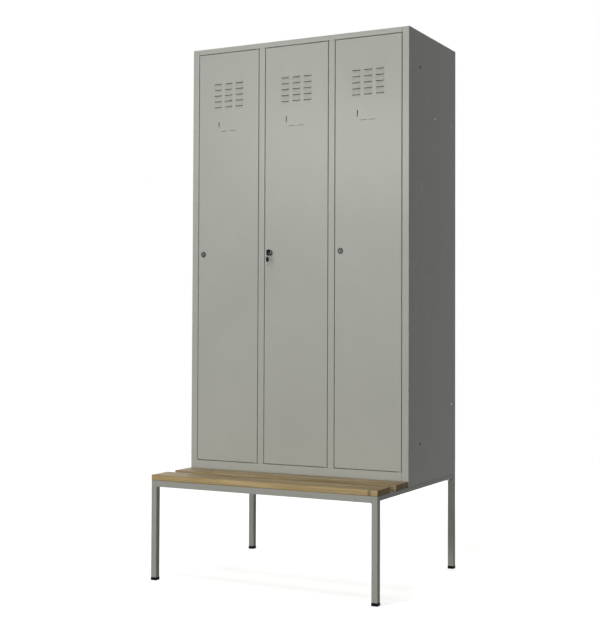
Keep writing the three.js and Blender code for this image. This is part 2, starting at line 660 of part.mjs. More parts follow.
// The channel inside the door at its hinge side. A block in each end holds a pivot pin that
// reaches through the door's edge into the frame, and the lower pin has a collar under the door.
function hingeChannel(i) {
  const right = doorRight(i) - SHEET - SEAM
  const left = right - CHANNEL_WIDTH
  const front = LOCKER_FRONT + OUTER_BEND
  const rear = LOCKER_FRONT + DOOR_DEPTH - SHEET - SEAM
  const [bottom, top] = [DOOR_BOTTOM + OUTER_BEND, DOOR_TOP - OUTER_BEND]
  const section = foldedSection([[right, front], [right, rear], [left, rear], [left, front]])
  const block = (z0, z1) =>
    box(pinX(i) - PIN_BLOCK_WIDTH / 2, right - SHEET / 2, front, rear - SHEET / 2, z0, z1)
  const pin = (radius, z0, z1) => rod(radius, z0, z1, Z_AXIS, [pinX(i), PIN_Y, 0], SMALL_ROUND_STEPS)
  return join([
    extrude(section, ALONG_Z, bottom, top),
    block(bottom, bottom + PIN_BLOCK_HEIGHT),
    block(top - PIN_BLOCK_HEIGHT, top),
    pin(PIN_RADIUS, DOOR_BOTTOM - PIN_REACH, bottom + PIN_BLOCK_HEIGHT / 2),
    pin(PIN_RADIUS, top - PIN_BLOCK_HEIGHT / 2, DOOR_TOP + PIN_REACH),
    pin(PIN_COLLAR_RADIUS, OPENING_BOTTOM + SEAM, DOOR_BOTTOM - SEAM),
  ])
}

// The cam locks

// The lock's barrel with a flat on each side, which keeps it from turning in the door.
function lockBarrel(x, from, to, clearance) {
  const flat = LOCK_FLAT / 2 + clearance
  const reach = LOCK_BARREL_RADIUS + OVERRUN
  return rod(LOCK_BARREL_RADIUS + clearance, from, to, Y_AXIS, [x, 0, LOCK_LEVEL])
    .intersect(box(x - flat, x + flat, from, to, LOCK_LEVEL - reach, LOCK_LEVEL + reach))
}

function lockHousing(x) {
  const rear = LOCKER_FRONT - SEAM
  const front = rear - LOCK_FACE_THICKNESS
  const face = turned([
    [0, rear],
    [LOCK_FACE_RADIUS, rear],
    [LOCK_FACE_RADIUS, front + LOCK_FACE_CHAMFER],
    [LOCK_FACE_RADIUS - LOCK_FACE_CHAMFER, front],
    [0, front],
  ], Y_AXIS, [x, 0, LOCK_LEVEL])
  const barrel = lockBarrel(x, front + LOCK_FACE_CHAMFER, CAM_FRONT - RUNNING_GAP, 0)
  const bore = rod(
    LOCK_PLUG_RADIUS + LOCK_PLUG_CLEARANCE, front - OVERRUN, CAM_FRONT + OVERRUN, Y_AXIS, [x, 0, LOCK_LEVEL])
  return face.add(barrel).subtract(bore)
}

function lockNut(x) {
  const front = LOCKER_FRONT + SHEET + SEAM
  const hole = circle(LOCK_LEVEL, x, LOCK_BARREL_RADIUS + LOCK_PLUG_CLEARANCE)
  return extrude(
    hexagon(LOCK_LEVEL, x, LOCK_NUT_ACROSS), ALONG_Y, front, front + LOCK_NUT_THICKNESS, [hole])
}

// The turning plug: a keyway in front, a square that carries the cam, and a head behind the cam.
function lockPlug(x) {
  const centre = [x, 0, LOCK_LEVEL]
  const camRear = CAM_FRONT + CAM_THICKNESS
  const slotX = KEY_THICKNESS / 2 + KEYWAY_CLEARANCE
  const slotZ = KEY_BLADE_HEIGHT / 2 + KEYWAY_CLEARANCE
  const keyway = box(
    x - slotX, x + slotX, PLUG_FRONT - OVERRUN, PLUG_FRONT + KEY_BLADE_LENGTH,
    LOCK_LEVEL - slotZ, LOCK_LEVEL + slotZ)
  const square = box(
    x - LOCK_TAIL / 2, x + LOCK_TAIL / 2, CAM_FRONT - RUNNING_GAP, camRear + SEAM + LOCK_HEAD_THICKNESS / 2,
    LOCK_LEVEL - LOCK_TAIL / 2, LOCK_LEVEL + LOCK_TAIL / 2)
  const round = (radius, from, to) => rod(radius, from, to, Y_AXIS, centre, SMALL_ROUND_STEPS)
  return join([
    round(LOCK_PLUG_RADIUS, PLUG_FRONT, CAM_FRONT - SEAM),
    square,
    round(LOCK_HEAD_RADIUS, camRear + SEAM, camRear + SEAM + LOCK_HEAD_THICKNESS),
  ]).subtract(keyway)
}

// The cam hangs down when the lock is open. Turned to the left it reaches behind the stop lip.
function lockCam(x) {
  const length = LOCK_FROM_EDGE - (STOP_LIP - DOOR_GAP) + CAM_OVERLAP
  const outline = [
    ...arc(LOCK_LEVEL, x, CAM_WIDTH / 2, -1, 1, SMALL_ROUND_STEPS / 2),
    new THREE.Vector2(LOCK_LEVEL - length, x + CAM_TIP_WIDTH / 2),
    new THREE.Vector2(LOCK_LEVEL - length, x - CAM_TIP_WIDTH / 2),
  ]
  const hole = LOCK_TAIL / 2 + LOCK_SQUARE_CLEARANCE
  const square = box(
    x - hole, x + hole, CAM_FRONT - OVERRUN, CAM_FRONT + CAM_THICKNESS + OVERRUN,
    LOCK_LEVEL - hole, LOCK_LEVEL + hole)
  return extrude(outline, ALONG_Y, CAM_FRONT, CAM_FRONT + CAM_THICKNESS).subtract(square)
}

// The keys

// A key's blade in its own plane: u runs towards the tip and v across the blade.
function bladeOutline(start, length) {
  const edge = KEY_BLADE_HEIGHT / 2
  const pitch = (length - KEY_TIP) / (KEY_NOTCHES + 1)
  const notches = Array.from({ length: KEY_NOTCHES }, (_, i) => start + pitch * (i + 1))
    .flatMap((u) => [[u - pitch / 3, -edge], [u, KEY_NOTCH_DEPTH - edge], [u + pitch / 3, -edge]])
  return [
    [start, -edge], ...notches, [start + length - KEY_TIP, -edge],
    [start + length, 0], [start + length - KEY_TIP, edge], [start, edge],
  ].map(([u, v]) => new THREE.Vector2(u, v))
}

// A key in the vertical plane at x. Its u runs from the bow's free end to the tip of the blade,
// and place turns u and v into y and z.
function keySolid(x, place, bowLength, bowWidth, bladeLength) {
  const form = (outline, thickness) =>
    extrude(outline.map(place), ALONG_X, x - thickness / 2, x + thickness / 2)
  const neck = KEY_NECK_HEIGHT / 2
  const shoulder = bowLength + KEY_NECK_LENGTH
  const bow = roundedRectangle(0, bowLength, -bowWidth / 2, bowWidth / 2, KEY_BOW_ROUNDING, KEY_STEPS)
  const hole = circle(KEY_HOLE_FROM_END, 0, KEY_HOLE_RADIUS, SMALL_ROUND_STEPS)
  return join([
    form(bow, KEY_BOW_THICKNESS),
    form([
      new THREE.Vector2(bowLength / 2, -neck), new THREE.Vector2(shoulder, -neck),
      new THREE.Vector2(shoulder, neck), new THREE.Vector2(bowLength / 2, neck),
    ], KEY_BOW_THICKNESS),
    form(bladeOutline(bowLength, bladeLength + KEY_NECK_LENGTH), KEY_THICKNESS),
  ]).subtract(form(hole, KEY_BOW_THICKNESS + OVERRUN))
}

const KEY_COMPARTMENT = COMPARTMENTS.indexOf('middle')
const KEY_X = lockX(KEY_COMPARTMENT)
const RING_Y = KEY_FRONT + KEY_HOLE_FROM_END
const RING_TOP = LOCK_LEVEL - RING_DROP
const SPARE_TOP = RING_TOP - 2 * RING_RADIUS - RING_DROP + KEY_HOLE_FROM_END

function lockKey() {
  const place = ({ x: u, y: v }) => new THREE.Vector2(KEY_FRONT + u, LOCK_LEVEL + v)
  return keySolid(KEY_X, place, KEY_BOW_LENGTH, KEY_BOW_HEIGHT, KEY_BLADE_LENGTH)
}

function spareKey() {
  const place = ({ x: u, y: v }) => new THREE.Vector2(RING_Y + v, SPARE_TOP - u)
  return keySolid(KEY_X, place, SPARE_BOW_LENGTH, SPARE_BOW_WIDTH, SPARE_BLADE_LENGTH)
}

function keyRing() {
  const ring = new THREE.TorusGeometry(RING_RADIUS, RING_WIRE_RADIUS, WIRE_STEPS, ROUND_STEPS)
  return solid(ring.rotateX(Math.PI / 2).translate(KEY_X, RING_Y, RING_TOP - RING_RADIUS))
}

// The bench

// A square tube with rounded edges. Its section's places are given on the outline's two axes.
function squareTube(direction, [u0, u1], [v0, v1], from, to) {
  const bore = roundedRectangle(
    u0 + TUBE_WALL, u1 - TUBE_WALL, v0 + TUBE_WALL, v1 - TUBE_WALL, TUBE_INSIDE_ROUNDING)
  return extrude(roundedRectangle(u0, u1, v0, v1, TUBE_ROUNDING), direction, from, to, [bore])
}

const spanX = (side) => (side > 0 ? [HALF_WIDTH - TUBE, HALF_WIDTH] : [-HALF_WIDTH, TUBE - HALF_WIDTH])
const SPAN_FRONT = [BENCH_FRONT, BENCH_FRONT + TUBE]
const SPAN_CROSS = [LOCKER_FRONT, LOCKER_FRONT + TUBE]
const SPAN_REAR = [LOCKER_REAR - TUBE, LOCKER_REAR]

function leg(side, spanY) {
  return squareTube(ALONG_Z, spanX(side), spanY, PLUG_HEAD_HEIGHT + SEAM, BENCH_HEIGHT)
}

// A rail between the two sides of the bench, with its underside at the given height.
function longRail(spanY, underside) {
  const half = HALF_WIDTH - TUBE - SEAM
  return squareTube(ALONG_X, spanY, [underside, BENCH_HEIGHT], -half, half)
}

const railBoltHoles = () => boltHoles(SIDE_RAIL_UNDERSIDE - OVERRUN, BENCH_HEIGHT + OVERRUN)

function crossRail() {
  return cut(longRail(SPAN_CROSS, SIDE_RAIL_UNDERSIDE), railBoltHoles())
}

function sideRail(side) {
  const rail = squareTube(
    ALONG_Y, [SIDE_RAIL_UNDERSIDE, BENCH_HEIGHT], spanX(side), SPAN_FRONT[1] + SEAM, SPAN_REAR[0] - SEAM)
  return cut(rail, railBoltHoles())
}

// A plug with a rounded head under the leg and a spigot inside it.
function footPlug(side, spanY) {
  const [x, y] = [side * (HALF_WIDTH - TUBE / 2), (spanY[0] + spanY[1]) / 2]
  const half = TUBE / 2 + PLUG_HEAD_MARGIN
  const outline = roundedRectangle(-half, half, -half, half, TUBE_ROUNDING + PLUG_HEAD_MARGIN)
  const head = new THREE.ExtrudeGeometry(new THREE.Shape(outline), {
    depth: PLUG_HEAD_HEIGHT - 2 * PLUG_HEAD_ROUNDING,
    bevelThickness: PLUG_HEAD_ROUNDING,
    bevelSize: PLUG_HEAD_ROUNDING,
    bevelOffset: -PLUG_HEAD_ROUNDING,
    bevelSegments: BEND_STEPS,
  })
  const inside = TUBE / 2 - TUBE_WALL - PLUG_SPIGOT_CLEARANCE
  const spigot = box(
    x - inside, x + inside, y - inside, y + inside, PLUG_HEAD_HEIGHT / 2, PLUG_HEAD_HEIGHT + PLUG_SPIGOT)
  return solid(head.translate(x, y, PLUG_HEAD_ROUNDING)).add(spigot)
}

function slat(front) {
  const top = BENCH_HEIGHT + SEAM + SLAT_THICKNESS
  const section = roundedRectangle(front, front + SLAT_WIDTH, BENCH_HEIGHT + SEAM, top, SLAT_ROUNDING)
  return extrude(section, ALONG_X, -HALF_WIDTH, HALF_WIDTH)
}

// A bolt with its nut: the head is under the bench's rail and the nut is on the locker's foot flange.
function lockerBolt(x, y) {
  const headTop = SIDE_RAIL_UNDERSIDE - SEAM
  const nutBottom = LOCKER_FOOT + SHEET + SEAM
  const nutTop = nutBottom + BOLT_NUT_HEIGHT
  const outline = hexagon(x, y, BOLT_HEAD_ACROSS)
  return join([
    extrude(outline, ALONG_Z, headTop - BOLT_HEAD_HEIGHT, headTop),
    extrude(outline, ALONG_Z, nutBottom, nutTop),
    rod(BOLT_RADIUS, headTop - BOLT_HEAD_HEIGHT / 2, nutTop + BOLT_END, Z_AXIS, [x, y, 0], SMALL_ROUND_STEPS),
  ])
}

// Putting it together

const group = new THREE.Group()
const place = (name, body, material) => group.add(part(name, body, material()))

for (const [name, side] of SIDES) {
  place(`side_panel_${name}`, sidePanel(side), painted)
  place(`side_rail_${name}`, sideRail(side), paintedFrame)
  for (const [end, spanY] of [['front', SPAN_FRONT], ['rear', SPAN_REAR]]) {
    place(`leg_${end}_${name}`, leg(side, spanY), paintedFrame)
    place(`foot_plug_${end}_${name}`, footPlug(side, spanY), blackPlastic)
  }
}
place('roof_panel', roofPanel(), painted)
place('bottom_rail', bottomRail(), painted)
place('floor_panel', floorPanel(), painted)
place('back_panel', backPanel(), painted)
place('front_rail', longRail(SPAN_FRONT, BENCH_HEIGHT - TUBE), paintedFrame)
place('rear_rail', longRail(SPAN_REAR, BENCH_HEIGHT - TUBE), paintedFrame)
place('cross_rail', crossRail(), paintedFrame)
place('slat_front', slat(BENCH_FRONT), wood)
place('slat_rear', slat(LOCKER_FRONT - SLAT_REAR_GAP - SLAT_WIDTH), wood)
for (const [name, x, y] of BOLT_PLACES) place(`locker_bolt_${name}`, lockerBolt(x, y), zinc)
for (const [i, name] of COMPARTMENTS.entries()) {
  if (!isLast(i)) {
    place(`mullion_${i + 1}`, mullion(mullionCentre(i)), painted)
    place(`partition_${i + 1}`, partition(mullionCentre(i)), painted)
  }
  place(`hat_shelf_${name}`, hatShelf(i), painted)
  place(`coat_rail_${name}`, coatRail(i), zinc)
  place(`coat_hook_${name}`, coatHook(i), zinc)
  place(`door_${name}`, doorPan(i), painted)
  place(`hinge_channel_${name}`, hingeChannel(i), painted)
  place(`lock_housing_${name}`, lockHousing(lockX(i)), nickel)
  place(`lock_nut_${name}`, lockNut(lockX(i)), zinc)
  place(`lock_plug_${name}`, lockPlug(lockX(i)), nickel)
  place(`lock_cam_${name}`, lockCam(lockX(i)), zinc)
}
place('key', lockKey(), keyBow)
place('key_ring', keyRing(), nickel)
place('spare_key', spareKey(), keyBow)

export default group
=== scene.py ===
# %% [markdown]
# # A changing-room locker on a bench
# This notebook dresses a steel clothes locker that stands on a bench of square tube. The frame that it
# loads already holds every sheet, tube, door, lock and key at its real size. What is left to do is what
# the eye wants: paint that looks like powder coat, slats of real wood, smooth locks and keys, and the
# small fasteners that hold the whole together.

# %% Load the fixed frame
import json
import math

import bmesh
import bpy
from mathutils import Matrix, Vector

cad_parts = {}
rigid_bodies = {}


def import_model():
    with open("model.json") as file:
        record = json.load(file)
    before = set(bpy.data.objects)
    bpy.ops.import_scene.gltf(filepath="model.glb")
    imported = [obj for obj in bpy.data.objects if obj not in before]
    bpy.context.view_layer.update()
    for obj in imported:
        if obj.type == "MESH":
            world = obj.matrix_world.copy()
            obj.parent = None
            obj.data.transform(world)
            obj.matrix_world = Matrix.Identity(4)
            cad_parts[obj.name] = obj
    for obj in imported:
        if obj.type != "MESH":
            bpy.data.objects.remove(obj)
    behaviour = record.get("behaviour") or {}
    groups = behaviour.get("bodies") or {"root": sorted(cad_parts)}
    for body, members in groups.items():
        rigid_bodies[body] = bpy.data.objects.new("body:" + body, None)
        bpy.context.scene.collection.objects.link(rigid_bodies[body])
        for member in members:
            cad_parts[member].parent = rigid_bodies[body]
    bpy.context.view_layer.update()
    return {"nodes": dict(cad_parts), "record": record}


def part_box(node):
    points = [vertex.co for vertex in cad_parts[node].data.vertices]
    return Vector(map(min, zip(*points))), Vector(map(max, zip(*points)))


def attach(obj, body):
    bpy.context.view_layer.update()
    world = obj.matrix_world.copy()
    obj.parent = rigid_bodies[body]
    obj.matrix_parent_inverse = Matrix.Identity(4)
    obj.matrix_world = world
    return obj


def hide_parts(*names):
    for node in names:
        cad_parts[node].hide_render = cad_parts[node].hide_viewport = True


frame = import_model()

MM = 0.001
nodes = frame["nodes"]


def add_to_scene(name, data):
    """A new object that shows a mesh, a lamp or a camera."""
    made = bpy.data.objects.new(name, data)
    bpy.context.scene.collection.objects.link(made)
    return made


# %% [markdown]
# ## The camera
# The photograph was taken from a little below the middle of the locker's height, about five metres away
# and to the right of it. The place, the turn and the focal length below were worked out from the straight
# edges in the photograph. The camera comes first.

# %% Camera
PHOTO_WIDTH, PHOTO_HEIGHT = 600, 625
SENSOR_WIDTH = 36
FOCAL_LENGTH_PIXELS = 1206
LENS_CENTRE = (323.0, 293.6)  # in pixels of the photograph, which was cropped a little
CAMERA_PLACE = (2.3274, -4.4396, 1.0246)
CAMERA_YAW, CAMERA_PITCH, CAMERA_ROLL = 26.95, 1.53, 0.20

camera_data = bpy.data.cameras.new("photo_camera")
camera_data.sensor_width = SENSOR_WIDTH
camera_data.lens = FOCAL_LENGTH_PIXELS * SENSOR_WIDTH / PHOTO_HEIGHT
camera_data.shift_x = (PHOTO_WIDTH / 2 - LENS_CENTRE[0]) / PHOTO_HEIGHT
camera_data.shift_y = (LENS_CENTRE[1] - PHOTO_HEIGHT / 2) / PHOTO_HEIGHT
camera = add_to_scene("photo_camera", camera_data)
camera.location = CAMERA_PLACE
camera.rotation_euler = [math.radians(angle) for angle in (90 + CAMERA_PITCH, -CAMERA_ROLL, CAMERA_YAW)]
bpy.context.scene.camera = camera
print(f"lens {camera_data.lens:.1f} mm")

# %% [markdown]
# ## Trees of nodes
# The sky, the floor and every finish are trees of nodes. These helpers only save clicks: they add a node,
# set or link its inputs by name, and hand back what comes out of it.

# %% Helpers for node trees
def add_node(tree, kind, **settings):
    made = tree.nodes.new(kind)
    for name, value in settings.items():
        setattr(made, name, value)
    return made


def feed(tree, target, **values):
    """Sets or links a node's inputs, by name with underscores for spaces, or by number, as in _0."""
    for name, value in values.items():
        number = name[1:]
        socket = target.inputs[int(number) if number.isdigit() else name.replace("_", " ")]
        if isinstance(value, bpy.types.NodeSocket):
            tree.links.new(value, socket)
        else:
            socket.default_value = value
    return target


def maths(tree, operation, first, second=0.0, clamp=False):
    made = add_node(tree, "ShaderNodeMath", operation=operation, use_clamp=clamp)
    return feed(tree, made, _0=first, _1=second).outputs[0]


def times(tree, first, second):
    return maths(tree, "MULTIPLY", first, second)


def plus(tree, first, second):
    return maths(tree, "ADD", first, second)


def vector_maths(tree, operation, first, second=(0, 0, 0)):
    made = add_node(tree, "ShaderNodeVectorMath", operation=operation)
    return feed(tree, made, _0=first, _1=second).outputs


def spread(tree, value, low, high, new_low=0.0, new_high=1.0):
    """Stretches a value's range to another one, with soft ends."""
    made = add_node(tree, "ShaderNodeMapRange", interpolation_type="SMOOTHSTEP")
    feed(tree, made, Value=value, From_Min=low, From_Max=high, To_Min=new_low, To_Max=new_high)
    return made.outputs["Result"]


def object_place(tree):
    return add_node(tree, "ShaderNodeTexCoord").outputs["Object"]


def mix_shaders(tree, share, first, second):
    return feed(tree, add_node(tree, "ShaderNodeMixShader"), _0=share, _1=first, _2=second).outputs[0]


def new_material(name):
    material = bpy.data.materials.new(name)
    material.use_nodes = True
    return material, material.node_tree


print("node helpers ready")

# %% [markdown]
# ## Light and background
# In the photograph a pale band runs over all three doors at one height. It is the reflection of a lamp
# like a wide strip, so such a lamp stands where a mirror in the doors would show it. A second one
# near the camera and the floor lights the legs at the back, which the seat would leave in the dark, and
# grazes the right side, which stays darker than the doors. One under the ceiling falls on the seat. The
# last one, behind and above, is for whoever walks round the locker: it lights the back and the roof, and
# nothing that the photograph shows. A weak even sky does the rest. The white background is what the camera
# and the reflections see of the sky. It doesn't light the object, so the shade keeps its depth.

# %% Lamps and sky
LAMPS = {
    "key_light": {"place": (-2.2, -6.6, 2.8), "width": 3.6, "height": 0.8, "power": 172},
    "low_light": {"place": (1.2, -5.9, 0.7), "width": 1.4, "height": 1.0, "power": 112},
    "top_light": {"place": (-0.1, -1.3, 5.0), "width": 1.8, "height": 1.2, "power": 38},
    "back_light": {"place": (-1.2, 5.0, 4.6), "width": 2.4, "height": 1.6, "power": 105},
}
LAMP_COLOUR = (1.0, 0.995, 0.97)
LIGHT_AIM = Vector((0.0, 0.0, 1.1))
SKY_FILL = 0.04
SKY_COLOUR = (0.98, 0.99, 1.0, 1)
WHITE = (1, 1, 1, 1)


def seen_rays(tree):
    """One for rays that show the background: straight from the camera, or by a mirror or glass."""
    path = add_node(tree, "ShaderNodeLightPath").outputs
    total = path["Is Camera Ray"]
    for kind in ("Is Glossy Ray", "Is Transmission Ray"):
        total = maths(tree, "ADD", total, path[kind], clamp=True)
    return total


def soft_lamp(name, place, width, height, power):
    """A flat lamp that looks at the middle of the locker."""
    data = bpy.data.lights.new(name, "AREA")
    data.energy = power
    data.shape = "RECTANGLE"
    data.size = width
    data.size_y = height
    data.color = LAMP_COLOUR
    lamp = add_to_scene(name, data)
    lamp.location = place
    lamp.rotation_euler = (LIGHT_AIM - Vector(place)).to_track_quat("-Z", "Y").to_euler()


for lamp_name, lamp_values in LAMPS.items():
    soft_lamp(lamp_name, **lamp_values)

world = bpy.data.worlds.new("white_room")
world.use_nodes = True
bpy.context.scene.world = world
sky = world.node_tree
fill = feed(sky, sky.nodes["Background"], Color=SKY_COLOUR, Strength=SKY_FILL).outputs[0]
shown_sky = feed(sky, add_node(sky, "ShaderNodeBackground"), Color=WHITE).outputs[0]
feed(sky, sky.nodes["World Output"], Surface=mix_shaders(sky, seen_rays(sky), fill, shown_sky))

bpy.context.scene.view_settings.view_transform = "Standard"
print(len(LAMPS), "lamps, and a sky of", SKY_FILL)

# %% [markdown]
# The floor is a plane that is white to the camera too, and takes a soft shadow. A floor that is white to
# every ray would brighten the object from below, so to the light that bounces it is grey.

# %% Floor
FLOOR_SIZE = 40
FLOOR_BOUNCE = 0.36  # what the floor gives back to the object
FLOOR_SHOWN, FLOOR_LIFT = 0.9, 0.77  # what the camera sees of it, and the light added to that
FADE_START, FADE_END = 2.0, 5.0


def matt(tree, tone):
    return feed(tree, add_node(tree, "ShaderNodeBsdfDiffuse"), Color=(tone, tone, tone, 1)).outputs[0]


def floor_finish():
    """Grey to the light that bounces, and white with the object's shadow to the camera."""
    material, tree = new_material("studio_floor")
    tree.nodes.remove(tree.nodes["Principled BSDF"])
    lift = feed(tree, add_node(tree, "ShaderNodeEmission"), Strength=FLOOR_LIFT).outputs[0]
    near = feed(tree, add_node(tree, "ShaderNodeAddShader"), _0=matt(tree, FLOOR_SHOWN), _1=lift).outputs[0]
    distance = vector_maths(tree, "LENGTH", object_place(tree))["Value"]
    far = add_node(tree, "ShaderNodeEmission").outputs[0]
    shown = mix_shaders(tree, spread(tree, distance, FADE_START, FADE_END), near, far)
    surface = mix_shaders(tree, seen_rays(tree), matt(tree, FLOOR_BOUNCE), shown)
    feed(tree, tree.nodes["Material Output"], Surface=surface)
    return material


bpy.ops.object.select_all(action="DESELECT")
bpy.ops.mesh.primitive_plane_add(size=FLOOR_SIZE, location=(0, 0, 0))
floor = bpy.context.object
floor.name = "studio_floor"
floor.data.materials.append(floor_finish())
print("floor", FLOOR_SIZE, "m square")

# %% [markdown]
# ## Effects that several finishes share
# Paint, plastic and metal differ in colour, but the same things happen to all of them: the surface has a
# fine skin, its edges wear, and dust settles on what faces up. Each of these is a node group with named
# inputs, built once. A group only puts out masks and heights, and the finish decides what to do with them.

# %% Helpers for colours and groups
FLOAT, VECTOR = "NodeSocketFloat", "NodeSocketVector"


def rgb(red, green, blue):
    """A colour as it reads on a screen, 0 to 255, made linear for a shader."""
    def linear(value):
        share = value / 255
        return share / 12.92 if share <= 0.04045 else ((share + 0.055) / 1.055) ** 2.4
    return (linear(red), linear(green), linear(blue), 1)


def coats(tree, ground, *layers):
    """Lays colours over a ground, one after the other. A layer is (mask, share, colour)."""
    for mask, share, colour in layers:
        made = add_node(tree, "ShaderNodeMix", data_type="RGBA")
        ground = feed(tree, made, _0=times(tree, mask, share), _6=ground, _7=colour).outputs[2]
    return ground


def noise(tree, where, scale, detail, roughness):
    made = add_node(tree, "ShaderNodeTexNoise")
    return feed(tree, made, Vector=where, Scale=scale, Detail=detail, Roughness=roughness).outputs["Fac"]


def grainy(tree, where, size, detail, roughness):
    """A noise whose size, in metres, comes from another node."""
    return noise(tree, where, maths(tree, "DIVIDE", 1.0, size), detail, roughness)


def new_group(name, inputs, outputs):
    """An empty node group. Inputs are (name, kind, value), and the outputs are numbers."""
    tree = bpy.data.node_groups.new(name, "ShaderNodeTree")
    for label, kind, value in inputs:
        socket = tree.interface.new_socket(name=label, in_out="INPUT", socket_type=kind)
        if value is not None:
            socket.default_value = value
    for label in outputs:
        tree.interface.new_socket(name=label, in_out="OUTPUT", socket_type=FLOAT)
    return tree, tree.nodes.new("NodeGroupInput").outputs, tree.nodes.new("NodeGroupOutput")


print("colour helpers ready")

# %% [markdown]
# Powder coat is a plastic skin that melted on the steel. It has fine pimples, called orange peel, and its
# tone drifts a little over a hand's breadth. Two sizes of noise on the object's own coordinates give both,
# so the skin stays put when a door swings.

# %% Group: skin
def skin_group():
    tree, given, result = new_group(
        "surface_skin",
        [("Grain Size", FLOAT, 0.002), ("Drift Size", FLOAT, 0.3), ("Grain Share", FLOAT, 0.4)],
        ["Tone", "Height"])
    place = object_place(tree)
    grain = grainy(tree, place, given["Grain Size"], 3.0, 0.6)
    drift = grainy(tree, place, given["Drift Size"], 4.0, 0.55)
    fine = times(tree, grain, given["Grain Share"])
    broad = times(tree, drift, maths(tree, "SUBTRACT", 1.0, given["Grain Share"]))
    feed(tree, result, Tone=plus(tree, fine, broad), Height=grain)
    return tree


SKIN = skin_group()
print("made", SKIN.name)

# %% [markdown]
# Edges wear first. The Bevel node in a material gives a normal that is rounded near an edge. Where it
# differs from the face's own normal there is an edge, and a noise breaks that line into worn patches. The
# plain edge mask also lets the paint and the metals lighten their edges, which is a painted highlight.

# %% Group: edge wear
def edge_wear_group():
    tree, given, result = new_group(
        "edge_wear", [("Rounded Normal", VECTOR, None), ("Patch Size", FLOAT, 0.02)], ["Edge", "Worn"])
    face_normal = add_node(tree, "ShaderNodeNewGeometry").outputs["Normal"]
    meet = vector_maths(tree, "DOT_PRODUCT", given["Rounded Normal"], face_normal)["Value"]
    # the edge mask: wear, and in paint and metal also a painted highlight
    edge = spread(tree, meet, 0.995, 0.85)
    patches = grainy(tree, object_place(tree), given["Patch Size"], 4.0, 0.65)
    feed(tree, result, Edge=edge, Worn=times(tree, edge, spread(tree, patches, 0.55, 0.72)))
    return tree


EDGE_WEAR_AND_HIGHLIGHT = edge_wear_group()
print("made", EDGE_WEAR_AND_HIGHLIGHT.name)

# %% [markdown]
# Dust lies on what faces up. The group reads the direction of the face on the object itself, and lets a
# broad noise thin the dust out, as a hand or a cloth would.

# %% Group: dust
def dust_group():
    tree, given, result = new_group("settled_dust", [("Patch Size", FLOAT, 0.15)], ["Dust"])
    coordinates = add_node(tree, "ShaderNodeTexCoord").outputs
    split = feed(tree, add_node(tree, "ShaderNodeSeparateXYZ"), Vector=coordinates["Normal"])
    facing_up = spread(tree, split.outputs["Z"], 0.5, 0.98)
    patches = grainy(tree, coordinates["Object"], given["Patch Size"], 5.0, 0.6)
    feed(tree, result, Dust=times(tree, facing_up, spread(tree, patches, 0.3, 0.75, 0.35, 1.0)))
    return tree


DUST = dust_group()
print("made", DUST.name)

# %% [markdown]
# ## Finishes
# Every finish starts the same way: a Principled shader, the three shared effects, and one Bevel node that
# softens the edges of the folded sheet. What follows in each finish is its own.

# %% Start of a finish
def place_group(tree, group, **values):
    return feed(tree, add_node(tree, "ShaderNodeGroup", node_tree=group), **values).outputs


def start_finish(name, edge_radius, patch_size=0.02, **skin):
    """A material with its shader, its rounded normal and the shared effects."""
    material, tree = new_material(name)
    bevel = feed(tree, add_node(tree, "ShaderNodeBevel", samples=4), Radius=edge_radius)
    rounded = bevel.outputs["Normal"]
    surface = place_group(tree, SKIN, **skin)
    # edge and worn masks; the edge mask also carries the painted highlight of paint and metal
    wear_and_highlight = place_group(tree, EDGE_WEAR_AND_HIGHLIGHT, Rounded_Normal=rounded, Patch_Size=patch_size)
    parts = {
        "shader": tree.nodes["Principled BSDF"],
        "rounded": rounded,
        "tone": surface["Tone"],
        "height": surface["Height"],
        "edge": wear_and_highlight["Edge"],
        "worn": wear_and_highlight["Worn"],
        "dust": place_group(tree, DUST)["Dust"],
    }
    return material, tree, parts


def bumps(tree, height, strength, depth, normal):
    """Bumps of a depth in metres, on top of another normal."""
    made = add_node(tree, "ShaderNodeBump")
    return feed(tree, made, Strength=strength, Distance=depth, Height=height, Normal=normal).outputs["Normal"]


def end_finish(tree, parts, colour, roughness, height, strength, depth, **constants):
    """Feeds the shader."""
    normal = bumps(tree, height, strength, depth, parts["rounded"])
    feed(tree, parts["shader"], Base_Color=colour, Roughness=roughness, Normal=normal, **constants)


print("a finish has a shader and three effects")

# %% [markdown]
# The locker and the bench are powder coated in two batches of the same light grey, so one function makes
# both. The tone drifts by a few hundredths, edges are a little paler, partly where the coat is thin and
# partly as a painted highlight along them, a few corners are rubbed darker by use, and dust makes what
# faces up paler and duller. Thin sheet is never quite flat: it has long shallow waves, which show only in
# how the light runs over a door. They are a second, broad bump under the fine one.

# %% Powder coat
WAVE_SIZE = 0.22
WAVE_DEPTH = 0.6 * MM
# paler edges: partly thin coat, partly a painted highlight along the edges
PAINT_THIN_EDGE_AND_HIGHLIGHT, PAINT_THIN_EDGE_AND_HIGHLIGHT_SHARE = rgb(214, 215, 208), 0.16
PAINT_RUBBED_SHARE = 0.35
PAINT_DUST, PAINT_DUST_DULLING = rgb(190, 187, 178), 0.18
PAINT_SHEEN = (0.22, 0.29)


